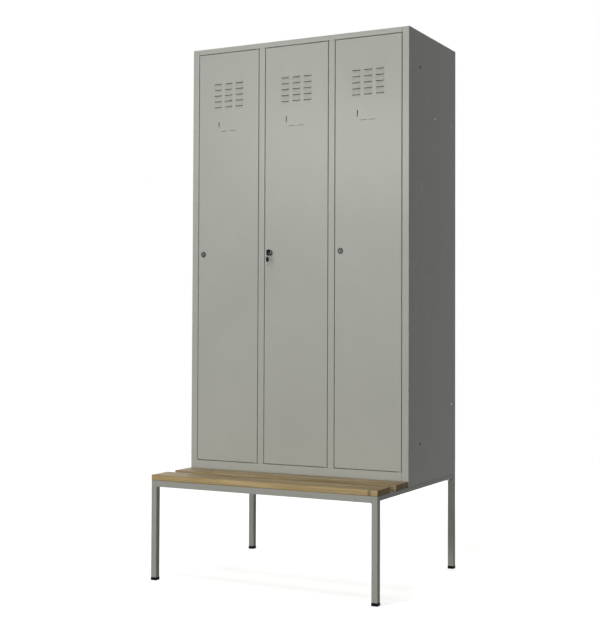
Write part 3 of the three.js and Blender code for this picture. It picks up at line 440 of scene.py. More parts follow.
def powder_coat(name, colour, rubbed, drift, dust_share):
    material, tree, parts = start_finish(
        name, 0.45 * MM, Grain_Size=1.6 * MM, Drift_Size=0.45, Grain_Share=0.25)
    waves = noise(tree, object_place(tree), 1 / WAVE_SIZE, 1.0, 0.4)
    parts["rounded"] = bumps(tree, waves, 1.0, WAVE_DEPTH, parts["rounded"])
    varied = add_node(tree, "ShaderNodeHueSaturation")
    feed(tree, varied, Color=colour, Value=spread(tree, parts["tone"], 0.3, 0.7, 1 - drift, 1 + drift))
    # the first layer pales the edges, partly as a painted highlight
    painted = coats(tree, varied.outputs[0], (parts["edge"], PAINT_THIN_EDGE_AND_HIGHLIGHT_SHARE, PAINT_THIN_EDGE_AND_HIGHLIGHT),
                    (parts["worn"], PAINT_RUBBED_SHARE, rubbed), (parts["dust"], dust_share, PAINT_DUST))
    sheen = spread(tree, parts["tone"], 0.3, 0.7, *PAINT_SHEEN)
    dulled = plus(tree, sheen, times(tree, parts["dust"], PAINT_DUST_DULLING))
    end_finish(tree, parts, painted, dulled, parts["height"], 0.25, 0.05 * MM, Specular_IOR_Level=0.13)
    return material


grey_paint = powder_coat("grey_paint", rgb(176, 177, 171), rgb(120, 120, 114), 0.03, 0.25)
frame_paint = powder_coat("frame_paint", rgb(158, 159, 152), rgb(100, 100, 95), 0.035, 0.15)
print("made", grey_paint.name, "and", frame_paint.name)

# %% [markdown]
# The seat slats are planed softwood under a clear lacquer. Real wood is a stack of growth rings around the
# heart of the tree, and a board is a cut through them. So the rings are made in space, as cylinders around
# a line that lies near the board, and the faces show streaks and the ends show arcs by themselves. The
# line wanders along the board, which gives the long flames on its top. One knot shows at the front.

# %% Slat wood
RING_PITCH = 4.2 * MM
RING_WANDER = 0.05
KNOT_PLACE = (0.466, -0.4, 0.411)
KNOT_SIZE = (0.006, 0.012, 0.014)
KNOT_PUSH = 0.012  # how far a knot bends the rings around it
END_FROM, END_TO = 0.4988, 0.4998  # where the sawn ends begin, out from the middle
WOOD_SHADE, WOOD_FIBRE, WOOD_KNOT = rgb(122, 104, 70), rgb(112, 92, 62), rgb(104, 80, 50)
WOOD_END, WOOD_DUST = rgb(82, 66, 48), rgb(170, 165, 152)


def distance_from(tree, where, centre, size):
    """How far a point is from a centre, in units of the size given for each direction."""
    offset = vector_maths(tree, "SUBTRACT", where, centre)["Vector"]
    scaled = vector_maths(tree, "MULTIPLY", offset, [1 / length for length in size])["Vector"]
    return vector_maths(tree, "LENGTH", scaled)["Value"]


def slat_wood(name, heart_y, heart_z, early, late, pale, knot_share):
    material, tree, parts = start_finish(
        name, 1.0 * MM, 0.03, Grain_Size=0.8 * MM, Drift_Size=0.12, Grain_Share=0.3)
    place = object_place(tree)
    split = feed(tree, add_node(tree, "ShaderNodeSeparateXYZ"), Vector=place).outputs

    def drawn_out(along, across, detail, roughness):
        """A noise that is long along the board and narrow across it."""
        where = vector_maths(tree, "MULTIPLY", place, (along, across, across))["Vector"]
        return noise(tree, where, 1.0, detail, roughness)

    wander, fibres = drawn_out(1.3, 5, 3.0, 0.5), drawn_out(9, 620, 3.0, 0.6)
    streaks, bands = drawn_out(1.6, 70, 2.0, 0.5), drawn_out(2.1, 26, 2.0, 0.55)
    knot = distance_from(tree, place, KNOT_PLACE, KNOT_SIZE)
    y = maths(tree, "SUBTRACT", split["Y"], heart_y)
    z = maths(tree, "SUBTRACT", split["Z"], heart_z)
    radius = maths(tree, "SQRT", plus(tree, times(tree, y, y), times(tree, z, z)))
    bent = plus(tree, radius, times(tree, wander, RING_WANDER))
    bent = plus(tree, bent, times(tree, spread(tree, knot, 6.0, 0.0, 0.0, knot_share), KNOT_PUSH))
    ring = maths(tree, "FRACT", maths(tree, "DIVIDE", bent, RING_PITCH))
    line = times(tree, spread(tree, ring, 0.25, 0.9), spread(tree, ring, 1.0, 0.93))
    end = spread(tree, maths(tree, "ABSOLUTE", split["X"]), END_FROM, END_TO)
    grain = coats(
        tree, early,
        (line, 0.75, late),
        (spread(tree, streaks, 0.35, 0.7), 0.5, late),
        (spread(tree, bands, 0.5, 0.72), 0.6, pale),
        (spread(tree, bands, 0.46, 0.28), 0.55, WOOD_SHADE),
        (spread(tree, fibres, 0.3, 0.75), 0.22, WOOD_FIBRE),
        (spread(tree, knot, 1.5, 0.8), 0.75 * knot_share, WOOD_KNOT),
        (end, 0.62, WOOD_END),
        (parts["edge"], 0.2, early),
        (parts["dust"], 0.08, WOOD_DUST))
    relief = plus(tree, times(tree, line, -0.4), times(tree, fibres, -0.6))
    gloss = plus(tree, spread(tree, fibres, 0.3, 0.75, 0.42, 0.56), times(tree, end, 0.25))
    end_finish(tree, parts, grain, gloss, relief, 0.3, 0.1 * MM, Specular_IOR_Level=0.3)
    return material


front_wood = slat_wood("slat_wood_front", -0.355, 0.335, rgb(190, 168, 121), rgb(143, 117, 74),
                       rgb(212, 193, 149), knot_share=1.0)
rear_wood = slat_wood("slat_wood_rear", -0.150, 0.350, rgb(186, 166, 124), rgb(142, 119, 79),
                      rgb(206, 189, 150), knot_share=0.0)
print("made", front_wood.name, "and", rear_wood.name)

# %% [markdown]
# Metals get their look from what they reflect. Zinc plate is dull and cloudy, with a faint yellow and blue
# cast, chrome is nearly a mirror, and the lock's nickel is made dark. One function makes all of them from
# two tones, a roughness, the size of the clouds and a share of tarnish, and lightens their edges towards
# the light tone, which is a painted highlight.

# %% Metals
METAL_DIRT = rgb(58, 58, 54)


def metal(name, light, dark, roughness, cloud_size, tarnish):
    material, tree, parts = start_finish(
        name, 0.3 * MM, 0.004, Grain_Size=0.35 * MM, Drift_Size=cloud_size, Grain_Share=0.35)
    # the last layer lightens the edges towards the light tone: a painted highlight
    plate = coats(tree, dark, (spread(tree, parts["tone"], 0.35, 0.65), 1.0, light),
                  (spread(tree, parts["tone"], 0.5, 0.3), tarnish, METAL_DIRT), (parts["edge"], 0.3, light))
    shine = plus(tree, roughness, times(tree, parts["tone"], 0.14))
    shine = plus(tree, shine, times(tree, parts["dust"], 0.15))
    end_finish(tree, parts, plate, shine, parts["height"], 0.15, 0.02 * MM, Metallic=1.0)
    return material


zinc = metal("zinc_plate", rgb(196, 198, 199), rgb(164, 165, 158), 0.3, 0.012, 0.25)
chrome = metal("chrome_tube", rgb(226, 228, 230), rgb(206, 208, 210), 0.06, 0.08, 0.08)
lock_nickel = metal("lock_nickel", rgb(70, 74, 72), rgb(40, 43, 42), 0.32, 0.006, 0.5)
core_steel = metal("lock_core_steel", rgb(108, 114, 113), rgb(68, 73, 72), 0.34, 0.004, 0.3)
# a much lighter copy of the core steel: painted light that makes up for the key bow's shade on the middle
# core
middle_core_steel = metal("middle_core_steel", rgb(206, 216, 216), rgb(150, 160, 160), 0.5, 0.004, 0.2)
key_steel = metal("key_steel", rgb(188, 189, 186), rgb(140, 141, 138), 0.22, 0.005, 0.35)
print("made zinc, chrome, nickel and three steels")

# %% [markdown]
# The foot plugs, the plugs in the sides, the key bows and the door buffers are dark plastics and rubber.
# Moulded plastic has a fine spark-eroded grain and paler rubbed edges, and dust settles on it.

# %% Plastics
PLASTIC_DUST = rgb(128, 124, 116)


def moulded(name, colour, rubbed, roughness, grain_size, depth):
    material, tree, parts = start_finish(
        name, 0.5 * MM, 0.006, Grain_Size=grain_size, Drift_Size=0.03, Grain_Share=0.5)
    body = coats(tree, colour, (spread(tree, parts["tone"], 0.3, 0.7), 0.3, rubbed),
                 (parts["edge"], 0.35, rubbed), (parts["dust"], 0.25, PLASTIC_DUST))
    gloss = plus(tree, roughness, times(tree, parts["tone"], 0.12))
    end_finish(tree, parts, body, gloss, parts["height"], 0.4, depth, Specular_IOR_Level=0.06)
    return material


black_plastic = moulded("black_plastic", rgb(8, 7, 18), rgb(26, 25, 40), 0.45, 0.7 * MM, 0.03 * MM)
key_plastic = moulded("key_bow_plastic", rgb(22, 27, 27), rgb(66, 76, 76), 0.3, 0.5 * MM, 0.015 * MM)
rubber = moulded("buffer_rubber", rgb(30, 30, 30), rgb(58, 57, 55), 0.7, 0.4 * MM, 0.02 * MM)
grey_plastic = moulded("grey_plug", rgb(70, 71, 67), rgb(104, 105, 99), 0.5, 0.5 * MM, 0.02 * MM)
print("made three plastics and a rubber")

# %% [markdown]
# ## The frame's own nodes
# Every node gets a finish first. Some need nothing more, and the others are replaced further down. The
# record says which material slot each node belongs to, and one table turns a slot into a finish.

# %% Dress the nodes
SLOT_FINISHES = {
    "grey_paint": grey_paint,
    "frame_paint": frame_paint,
    "slat_wood": front_wood,
    "black_plastic": black_plastic,
    "zinc": zinc,
    "chrome_tube": chrome,
    "lock_nickel": lock_nickel,
    "key_bow": key_plastic,
}
node_slots = {subpart["node"]: subpart["material_slot"] for subpart in frame["record"]["subparts"]}


def dress(piece, material):
    piece.data.materials.clear()
    piece.data.materials.append(material)


for node, node_slot in node_slots.items():
    dress(nodes[node], SLOT_FINISHES[node_slot])
print("dressed", len(nodes), "nodes")

# %% [markdown]
# ## Tools for modelling
# The pieces below are modelled as by hand, with a primitive and a few edit-mode operators. These helpers
# only save repeating the clicks: start a piece so that its object sits at the origin and its place is in
# its mesh, select what is to be worked on, and finish the piece.

# %% Start, select and finish
SMOOTH_ANGLE = math.radians(35)


def select_only(piece=None):
    bpy.ops.object.select_all(action="DESELECT")
    if piece:
        bpy.context.view_layer.objects.active = piece
        piece.select_set(True)


def start_piece(name):
    piece = bpy.context.object
    piece.name = piece.data.name = name
    bpy.ops.object.transform_apply(location=True, rotation=True, scale=True)
    return piece


def block(name, low, high):
    """A box between two corners."""
    select_only()
    low, high = Vector(low), Vector(high)
    bpy.ops.mesh.primitive_cube_add(size=1, location=(low + high) / 2, scale=high - low)
    return start_piece(name)


def edit(piece):
    select_only(piece)
    bpy.ops.object.mode_set(mode="EDIT")
    bpy.ops.mesh.select_mode(type="VERT")


def done():
    bpy.ops.object.mode_set(mode="OBJECT")


def pick(piece, kind, wanted):
    """Selects in edit mode the faces or edges that the test wants. The test gets the centre and the
    direction: a face's normal, or the way an edge runs."""
    bpy.ops.mesh.select_all(action="DESELECT")
    bpy.ops.mesh.select_mode(type=kind)
    mesh = bmesh.from_edit_mesh(piece.data)
    if kind == "FACE":
        for face in mesh.faces:
            face.select = wanted(face.calc_center_median(), face.normal)
    else:
        for edge in mesh.edges:
            ends = [vertex.co for vertex in edge.verts]
            edge.select = wanted((ends[0] + ends[1]) / 2, (ends[1] - ends[0]).normalized())
    mesh.select_flush_mode()
    bmesh.update_edit_mesh(piece.data)


def along(axis):
    """A test for pick: the direction follows this axis, either way."""
    return lambda centre, direction: abs(getattr(direction, axis)) > 0.9


def finish_piece(piece, material, body, slot, *replaced):
    """Smooth shading, finish and body, and the nodes that the piece stands for. The slot is not used."""
    edit(piece)
    bpy.ops.mesh.select_all(action="SELECT")
    bpy.ops.mesh.normals_make_consistent(inside=False)
    done()
    bpy.ops.object.shade_smooth_by_angle(angle=SMOOTH_ANGLE)
    dress(piece, material)
    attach(piece, body)
    if replaced:
        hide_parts(*replaced)


print("pieces have smooth faces up to", round(math.degrees(SMOOTH_ANGLE)), "degrees")

# %% [markdown]
# ## Seat slats
# Each slat is a planed board with its long edges rounded over, and its ends only broken with sandpaper.
# A box between the corners of the frame's own slat is the start. A wide bevel runs along the four long
# edges, and a narrow one goes around the two ends. The feet and the bows of the keys use the same helper.

# %% Slats
SLAT_ROUNDING = 3.2 * MM
END_ROUNDING = 1.2 * MM


def rounded_block(name, low, high, axis, *roundings):
    """A box, left in edit mode, with a bevel along its axis and perhaps one around its ends. A rounding is
    (offset, segments)."""
    piece = block(name, low, high)
    edit(piece)
    for kind, (offset, segments) in zip(("EDGE", "FACE"), roundings):
        pick(piece, kind, along(axis))
        if kind == "FACE":
            bpy.ops.mesh.region_to_loop()
        bpy.ops.mesh.bevel(offset=offset, segments=segments, affect="EDGES")
    return piece


def seat_slat(name, node, material):
    low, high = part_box(node)
    slat = rounded_block(name, low, high, "x", (SLAT_ROUNDING, 6), (END_ROUNDING, 3))
    done()
    finish_piece(slat, material, "casing", "slat_wood", node)
    print(name, "is", [round(side / MM, 1) for side in high - low], "mm")


seat_slat("seat_slat_front", "slat_front", front_wood)
seat_slat("seat_slat_rear", "slat_rear", rear_wood)

# %% [markdown]
# ## Turned parts
# Most small parts here are turned: screws, rivets, locks, rails and even weld beads. So one helper draws a
# round piece along an axis, as a lathe would. Others add a modifier and apply it, which is how edges are
# softened and holes are drilled, and copy a piece to where it repeats.

# %% Turn, drill and repeat
AXES = {"X": Vector((1, 0, 0)), "Y": Vector((0, 1, 0)), "Z": Vector((0, 0, 1))}
AXIS_TURNS = {"X": (0, math.radians(90), 0), "Y": (math.radians(-90), 0, 0), "Z": (0, 0, 0)}


def turned(name, origin, axis, stations, steps):
    """A round piece, drawn out of a circle along an axis. Each station is (radius, distance from the
    origin), and the circle is extruded and resized from one to the next. Where the last station is
    the first again, the piece is a ring or a tube."""
    is_ring = stations[0] == stations[-1]
    origin, way = Vector(origin), AXES[axis]
    radius, distance = stations[0]
    select_only()
    bpy.ops.mesh.primitive_circle_add(
        vertices=steps, radius=radius, fill_type="NOTHING" if is_ring else "NGON",
        location=origin + way * distance, rotation=AXIS_TURNS[axis])
    piece = start_piece(name)
    edit(piece)
    for next_radius, next_distance in stations[1:]:
        bpy.ops.mesh.extrude_region_move(TRANSFORM_OT_translate={"value": way * (next_distance - distance)})
        bpy.ops.transform.resize(
            value=(next_radius / radius,) * 3, center_override=origin + way * next_distance)
        radius, distance = next_radius, next_distance
    bpy.ops.mesh.select_all(action="SELECT")
    bpy.ops.mesh.remove_doubles(threshold=0.001 * MM)
    bpy.ops.mesh.normals_make_consistent(inside=False)
    done()
    return piece


def modify(piece, kind, **settings):
    """Adds a modifier and applies it."""
    select_only(piece)
    modifier = piece.modifiers.new(kind.lower(), kind)
    for name, value in settings.items():
        setattr(modifier, name, value)
    bpy.ops.object.modifier_apply(modifier=modifier.name)


def soften(piece, width, segments=2):
    modify(piece, "BEVEL", width=width, segments=segments, limit_method="ANGLE", angle_limit=SMOOTH_ANGLE)


def combine(piece, tool, how):
    """Joins a piece with another one or cuts it, and takes the other one away."""
    modify(piece, "BOOLEAN", object=tool, operation=how, solver="EXACT")
    bpy.data.objects.remove(tool)


def drill(piece, place, radius, depth, sides):
    """A straight hole along Z, round or with a few sides."""
    select_only()
    bpy.ops.mesh.primitive_cylinder_add(vertices=sides, radius=radius, depth=depth, location=place)
    combine(piece, bpy.context.object, "DIFFERENCE")


def repeat(first, places, material, body, slot):
    """Copies the first piece from the first place to the others, each with its own mesh."""
    for number, place in enumerate(places[1:], start=2):
        twin = add_to_scene(first.name.removesuffix("1") + str(number), first.data.copy())
        twin.data.name = twin.name
        twin.data.transform(Matrix.Translation(place - places[0]))
        finish_piece(twin, material, body, slot)
    finish_piece(first, material, body, slot)


print("a piece can be turned along", *AXES)

# %% [markdown]
# ## Screws under the slats
# A slat is held from below, by a screw with a flat round head and a washer through the side rail, two at
# each end. The head has a hexagonal socket, which is drilled with a six-sided tool. One screw is modelled
# and copied.

# %% Slat screws
SCREW_HEAD_RADIUS = 5.5 * MM
SCREW_HEAD_HEIGHT = 1.8 * MM
WASHER_RADIUS = 7.5 * MM
WASHER_THICKNESS = 0.8 * MM
SOCKET_RADIUS = 2.3 * MM
SOCKET_DEPTH = 1.5 * MM
SCREW_SPREAD = 0.29  # of a slat's width, to each side of its middle
SIDES = {"left": -1, "right": 1}


def box_middle(node):
    low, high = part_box(node)
    return (low + high) / 2


def slat_screw(name, top):
    """Hangs from the point at its top, with the washer first."""
    head_end = WASHER_THICKNESS + SCREW_HEAD_HEIGHT
    screw = turned(name, top, "Z", [
        (WASHER_RADIUS, 0), (WASHER_RADIUS, -WASHER_THICKNESS), (SCREW_HEAD_RADIUS, -WASHER_THICKNESS),
        (SCREW_HEAD_RADIUS, -head_end + 0.5 * SCREW_HEAD_HEIGHT), (0.82 * SCREW_HEAD_RADIUS, -head_end)], 24)
    soften(screw, 0.25 * MM)
    drill(screw, top - head_end * AXES["Z"], SOCKET_RADIUS, 2 * SOCKET_DEPTH, 6)
    return screw


screw_tops = []
for side_name in SIDES:
    rail_x, rail_bottom = box_middle(f"side_rail_{side_name}").x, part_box(f"side_rail_{side_name}")[0].z
    for slat_node in ("slat_front", "slat_rear"):
        slat_low, slat_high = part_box(slat_node)
        for share in (-SCREW_SPREAD, SCREW_SPREAD):
            y = box_middle(slat_node).y + share * (slat_high.y - slat_low.y)
            screw_tops.append(Vector((rail_x, y, rail_bottom)))
repeat(slat_screw("slat_screw_1", screw_tops[0]), screw_tops, zinc, "casing", "zinc")
print(len(screw_tops), "screws")

# %% [markdown]
# ## Marks on the side panels
# The photograph shows a few small things on the right side: bright rivet heads that hold the shelf and the
# floor's angle, and dark plugs in the holes where a row of lockers is bolted together. The left side can't
# be seen, and is made as the mirror image. A rivet head is a low dome and a plug is a disc with a rim, and
# both stand less than a millimetre proud.

# %% Rivets and plugs
PANEL_X = max(abs(corner.x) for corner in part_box("side_panel_right"))
SUNK = 0.2 * MM  # how deep a head starts in the sheet
PLUG_RADIUS = 5.5 * MM
RIVET_PLACES = [(0.164, 1.8755), (0.354, 1.8755), (0.354, 0.696)]
PLUG_PLACES = [(0.003, 2.058), (0.006, 0.557)]


def dome(radius, height, count=5):
    """The stations of a low dome, from its foot to a small flat on top."""
    angles = [math.radians(80) * step / count for step in range(count + 1)]
    return [(radius * math.cos(angle), height * math.sin(angle)) for angle in angles]


def rivet_head(radius, height, count=5):
    return [(0.9 * radius, -SUNK)] + dome(radius, height, count)


MARKS = {
    "side_rivet": (RIVET_PLACES, rivet_head(4 * MM, 0.85 * MM), zinc, "zinc"),
    "side_plug": (PLUG_PLACES, [
        (0.9 * PLUG_RADIUS, -SUNK), (PLUG_RADIUS, 0), (PLUG_RADIUS, 0.35 * MM),
        (0.86 * PLUG_RADIUS, 0.6 * MM), (0.66 * PLUG_RADIUS, 0.6 * MM), (0.58 * PLUG_RADIUS, 0.2 * MM),
    ], grey_plastic, "black_plastic"),
}
for side_name, side in SIDES.items():
    for mark_name, (places, stations, material, slot) in MARKS.items():
        for number, (y, z) in enumerate(places, start=1):
            mark = turned(f"{mark_name}_{side_name}_{number}", (side * PANEL_X, y, z), "X",
                          [(radius, side * out) for radius, out in stations], 28)
            finish_piece(mark, material, "casing", slot)
print("rivets and plugs on both sides")

# %% [markdown]
# ## Rivets on the back
# The back sheet is riveted to the flanges of the two side panels, of the two walls between the
# compartments and of the roof. The rivets are set after the coating, so their heads are as bright as those
# on the sides. Each line has its rivets at even distances. One rivet is drawn and copied.

# %% Back rivets
FLANGE_MIDDLE = 7.5 * MM
RIVET_ROWS = 6
RIVETS_FROM_END = 70 * MM
ROOF_RIVET_SHARES = (-0.65, 0, 0.65)  # of half the locker's width

flange_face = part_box("side_panel_right")[1].y
sheet_low, sheet_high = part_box("back_panel")
rivet_columns = [(side * (PANEL_X - FLANGE_MIDDLE), flange_face) for side in SIDES.values()]
rivet_columns += [(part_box(f"partition_{number}")[1].x - FLANGE_MIDDLE, sheet_high.y) for number in (1, 2)]
bottom, top = sheet_low.z + RIVETS_FROM_END, sheet_high.z - RIVETS_FROM_END
back_rivets = [Vector((x, y, bottom + (top - bottom) * row / (RIVET_ROWS - 1)))
               for x, y in rivet_columns for row in range(RIVET_ROWS)]
back_rivets += [Vector((share * PANEL_X, flange_face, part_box("roof_panel")[1].z - FLANGE_MIDDLE))
                for share in ROOF_RIVET_SHARES]
first_rivet = turned("back_rivet_1", back_rivets[0], "Y", rivet_head(3.2 * MM, 0.75 * MM, 4), 20)
repeat(first_rivet, back_rivets, zinc, "casing", "zinc")
print(len(back_rivets), "rivets on the back")

# %% [markdown]
# ## Door buffers
# A steel door would clang on its stop. Small rubber buffers sit on the stop lip at the lock side, near the
# top and the bottom of each door, and nearly fill the gap of four millimetres behind it.

# %% Buffers
DOOR_NAMES = ("left", "middle", "right")
SHEET = 1 * MM
BUFFER_RADIUS = 3.6 * MM
BUFFER_HEIGHT = 3.4 * MM
BUFFER_FROM_END = 0.16
BUFFER_FROM_DOOR_EDGE = 3.7 * MM

stop_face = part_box("mullion_1")[1].y - SHEET
buffer_stations = [(0.8 * BUFFER_RADIUS, 0.3 * MM), (0.8 * BUFFER_RADIUS, 0)]
buffer_stations += [(radius, -out) for radius, out in dome(BUFFER_RADIUS, BUFFER_HEIGHT)]
for door_name in DOOR_NAMES:
    low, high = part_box(f"door_{door_name}")
    for end_name, z in (("bottom", low.z + BUFFER_FROM_END), ("top", high.z - BUFFER_FROM_END)):
        buffer = turned(f"door_buffer_{door_name}_{end_name}", (low.x + BUFFER_FROM_DOOR_EDGE, stop_face, z),
                        "Y", buffer_stations, 24)
        finish_piece(buffer, rubber, "casing", "black_plastic")
print("buffers on the stop lips at y", round(stop_face, 4))

# %% [markdown]
# ## Locks
# A cam lock is a round face with a threaded barrel behind it, held by a nut inside the door. The face is a
# ring that is drawn around its bore: up the outside, over a chamfer, across the front, and back down the
# bore where the turning plug sits. The thread is the same idea with many small steps. The barrel's two
# flats, which keep it from turning in the door, are sliced off with Bisect.

# %% Lock faces and barrels
SEAM = 0.25 * MM  # between pieces that are fixed to each other
LOCK_BORE = 6.25 * MM
LOCK_FACE_RADIUS = 12 * MM
BARREL_RADIUS = 9 * MM
BARREL_FLAT = 7.75 * MM
THREAD_PITCH = 1.0 * MM
THREAD_DEPTH = 0.45 * MM


def lock_centre(door_name):
    """The lock's axis, at y = 0."""
    middle = box_middle(f"lock_housing_{door_name}")
    return Vector((middle.x, 0, middle.z))


def lock_face(name, centre, front, rear):
    """The face, drawn from its rear inner corner round to the same corner."""
    outline = [(0.96, rear), (1, rear - 0.3 * MM), (1, front + 1.1 * MM), (0.975, front + 0.6 * MM),
               (0.91, front + 0.15 * MM), (0.85, front), (0.62, front), (0.58, front + 0.25 * MM)]
    stations = [(LOCK_BORE, rear)] + [(share * LOCK_FACE_RADIUS, y) for share, y in outline]
    stations += [(LOCK_BORE, front + 0.35 * MM), (LOCK_BORE, rear)]
    return turned(name, centre, "Y", stations, 48)


def lock_barrel(name, centre, front, rear):
    """A threaded tube with a flat on each side."""
    count = int((rear - front) / THREAD_PITCH)
    pitch = (rear - front) / count
    stations = [(LOCK_BORE, front)]
    for turn in range(count):
        stations.append((BARREL_RADIUS - THREAD_DEPTH, front + turn * pitch))
        stations.append((BARREL_RADIUS, front + (turn + 0.5) * pitch))
    stations += [(BARREL_RADIUS - THREAD_DEPTH, rear), (LOCK_BORE, rear), (LOCK_BORE, front)]
    barrel = turned(name, centre, "Y", stations, 40)
    edit(barrel)
    for side in SIDES.values():
        bpy.ops.mesh.select_all(action="SELECT")
        bpy.ops.mesh.bisect(plane_co=centre + side * BARREL_FLAT * AXES["X"], plane_no=(side, 0, 0),
                            use_fill=True, clear_outer=True)
    done()
    return barrel


for door_name in DOOR_NAMES:
    low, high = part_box(f"lock_housing_{door_name}")
    centre = lock_centre(door_name)
    face_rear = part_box(f"lock_nut_{door_name}")[0].y - SHEET - 2 * SEAM
    face = lock_face(f"lock_face_{door_name}", centre, low.y, face_rear)
    finish_piece(face, lock_nickel, f"{door_name}_door", "lock_nickel", f"lock_housing_{door_name}")
    barrel = lock_barrel(f"lock_barrel_{door_name}", centre, face_rear, high.y)
    finish_piece(barrel, lock_nickel, f"{door_name}_door", "lock_nickel")
print("locks at height", round(centre.z, 4), "m")

# %% [markdown]
# The plug that turns in the lock is turned too, with a shallow dish in front. Its tail is square, so that
# it carries the cam with it, and ends in a round head. Body, tail and head are made one with Booleans, and
# one more cuts the keyway out. Then every sharp edge gets a hair of a bevel.

# %% Lock cores
CORE_RADIUS = 6 * MM
CORE_DISH = 0.3 * MM
KEYWAY_WIDTH = 2.6 * MM
KEYWAY_HEIGHT = 7.6 * MM
KEYWAY_DEPTH = 21 * MM
TAIL_WIDTH = 6 * MM
TAIL_HEAD_RADIUS = 4.5 * MM
TAIL_HEAD_HEIGHT = 1.5 * MM


def bar(name, centre, width, height, front, rear):
    """A straight bar from front to rear."""
    half = Vector((width / 2, 0, height / 2))
    return block(name, centre - half + front * AXES["Y"], centre + half + rear * AXES["Y"])


def lock_core(name, centre, front, rear, cam_front):
    core = turned(name, centre, "Y", [
        (0.62 * CORE_RADIUS, front + CORE_DISH), (0.72 * CORE_RADIUS, front + 0.2 * CORE_DISH),
        (0.8 * CORE_RADIUS, front), (0.94 * CORE_RADIUS, front), (CORE_RADIUS, front + CORE_DISH),
        (CORE_RADIUS, cam_front - SEAM)], 36)
    head = turned(name + "_head", centre, "Y", [
        (TAIL_HEAD_RADIUS, rear - TAIL_HEAD_HEIGHT), (TAIL_HEAD_RADIUS, rear - 0.4 * TAIL_HEAD_HEIGHT),
        (0.8 * TAIL_HEAD_RADIUS, rear)], 24)
    tail = bar(name + "_tail", centre, TAIL_WIDTH, TAIL_WIDTH,
               cam_front - 4 * SEAM, rear - TAIL_HEAD_HEIGHT / 2)
    keyway = bar(name + "_keyway", centre, KEYWAY_WIDTH, KEYWAY_HEIGHT,
                 front - KEYWAY_WIDTH, front + KEYWAY_DEPTH)
    for tool, how in ((tail, "UNION"), (head, "UNION"), (keyway, "DIFFERENCE")):
        combine(core, tool, how)
    soften(core, 0.12 * MM, 1)
    return core


for door_name in DOOR_NAMES:
    low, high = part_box(f"lock_plug_{door_name}")
    cam_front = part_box(f"lock_cam_{door_name}")[0].y
    core = lock_core(f"lock_core_{door_name}", lock_centre(door_name), low.y, high.y, cam_front)
    # the middle core gets the lighter copy, painted light against the key bow's shade
    steel = middle_core_steel if door_name == "middle" else core_steel
    finish_piece(core, steel, f"{door_name}_lock", "lock_nickel", f"lock_plug_{door_name}")
print("cores with keyways of", round(KEYWAY_WIDTH / MM, 1), "by", round(KEYWAY_HEIGHT / MM, 1), "mm")

# %% [markdown]
# ## Keys
# A key is two pieces: a nickel blade and a moulded bow around its end. Both keys here have the same
# make-up, in two sizes. The bow is a flat block whose corners are bevelled round, whose rims are softened,
# and whose cheeks are inset and pushed in. A hole is drilled in it for the ring.

# %% Key bow
BOW_THICKNESS = 4 * MM
BOW_CORNER = 8 * MM
BOW_RIM = 2.6 * MM
CHEEK_DEPTH = 0.45 * MM
RING_HOLE_RADIUS = 3 * MM
RING_HOLE_FROM_END = 6 * MM
NECK_LENGTH = 3 * MM
NECK_WIDTH = 9 * MM


def push_in(depth):
    bpy.ops.mesh.extrude_region_shrink_fatten(TRANSFORM_OT_shrink_fatten={"value": -depth})


def key_bow(name, length, width):
    """The bow lies along X from its free end, with its thickness along Z."""
    half = BOW_THICKNESS / 2
    bow = rounded_block(name, (0, -width / 2, -half), (length, width / 2, half), "z", (BOW_CORNER, 10))
    pick(bow, "FACE", along("z"))
    bpy.ops.mesh.inset(thickness=BOW_RIM, use_individual=True)
    push_in(CHEEK_DEPTH)
    done()
    neck = block(name + "_neck", (length - 4 * MM, -NECK_WIDTH / 2, -0.9 * half),
                 (length + NECK_LENGTH, NECK_WIDTH / 2, 0.9 * half))
    combine(bow, neck, "UNION")
    drill(bow, (RING_HOLE_FROM_END, 0, 0), RING_HOLE_RADIUS, 3 * BOW_THICKNESS, 28)
    soften(bow, 0.5 * MM, 3)
    return bow


print("the bow is", round(BOW_THICKNESS / MM, 1), "mm thick")

# %% [markdown]
# The blade is a strip of steel. It is subdivided along its length, and the vertices of its lower edge go
# up where the notches are. Its two faces are milled, which is an inset that is pushed in.

# %% Key blade
BLADE_THICKNESS = 2 * MM
BLADE_WIDTH = 7 * MM
KEY_CUTS = (0.9, 1.7, 0.6, 1.5, 1.1, 1.9, 0.8)  # the depths of the notches in millimetres
BLADE_STEPS = 2 * len(KEY_CUTS) + 2
TIP_SHARE = 0.35  # of the blade's width, at its tip
MILLED_RIM = 1.3 * MM
MILLED_DEPTH = 0.35 * MM


def key_blade(name, start, length):
    """The blade lies along X, with its notches at its lower edge, towards -Y."""
    half = BLADE_WIDTH / 2
    blade = block(name, (start, -half, -BLADE_THICKNESS / 2), (start + length, half, BLADE_THICKNESS / 2))
    edit(blade)
    pick(blade, "EDGE", along("x"))
    bpy.ops.mesh.subdivide(number_cuts=BLADE_STEPS - 1)
    done()
    for vertex in blade.data.vertices:
        step = round((vertex.co.x - start) / (length / BLADE_STEPS))
        if vertex.co.y < 0 and step % 2 == 0 and 0 < step < BLADE_STEPS:
            vertex.co.y += KEY_CUTS[step // 2 - 1] * MM
        if step == BLADE_STEPS:
            vertex.co.y *= TIP_SHARE
    edit(blade)
    pick(blade, "FACE", along("z"))
    bpy.ops.mesh.inset(thickness=MILLED_RIM)
    push_in(MILLED_DEPTH)
    done()
    soften(blade, 0.12 * MM, 1)
    return blade


print(len(KEY_CUTS), "notches in a blade")

# %% [markdown]
# A key is modelled lying down, where its lengths are easy to read. Three axes then say how it lies in the
# end: one key points into the lock, and the other hangs down on the ring.

# %% Both keys
BLADE_IN_BOW = 2 * MM


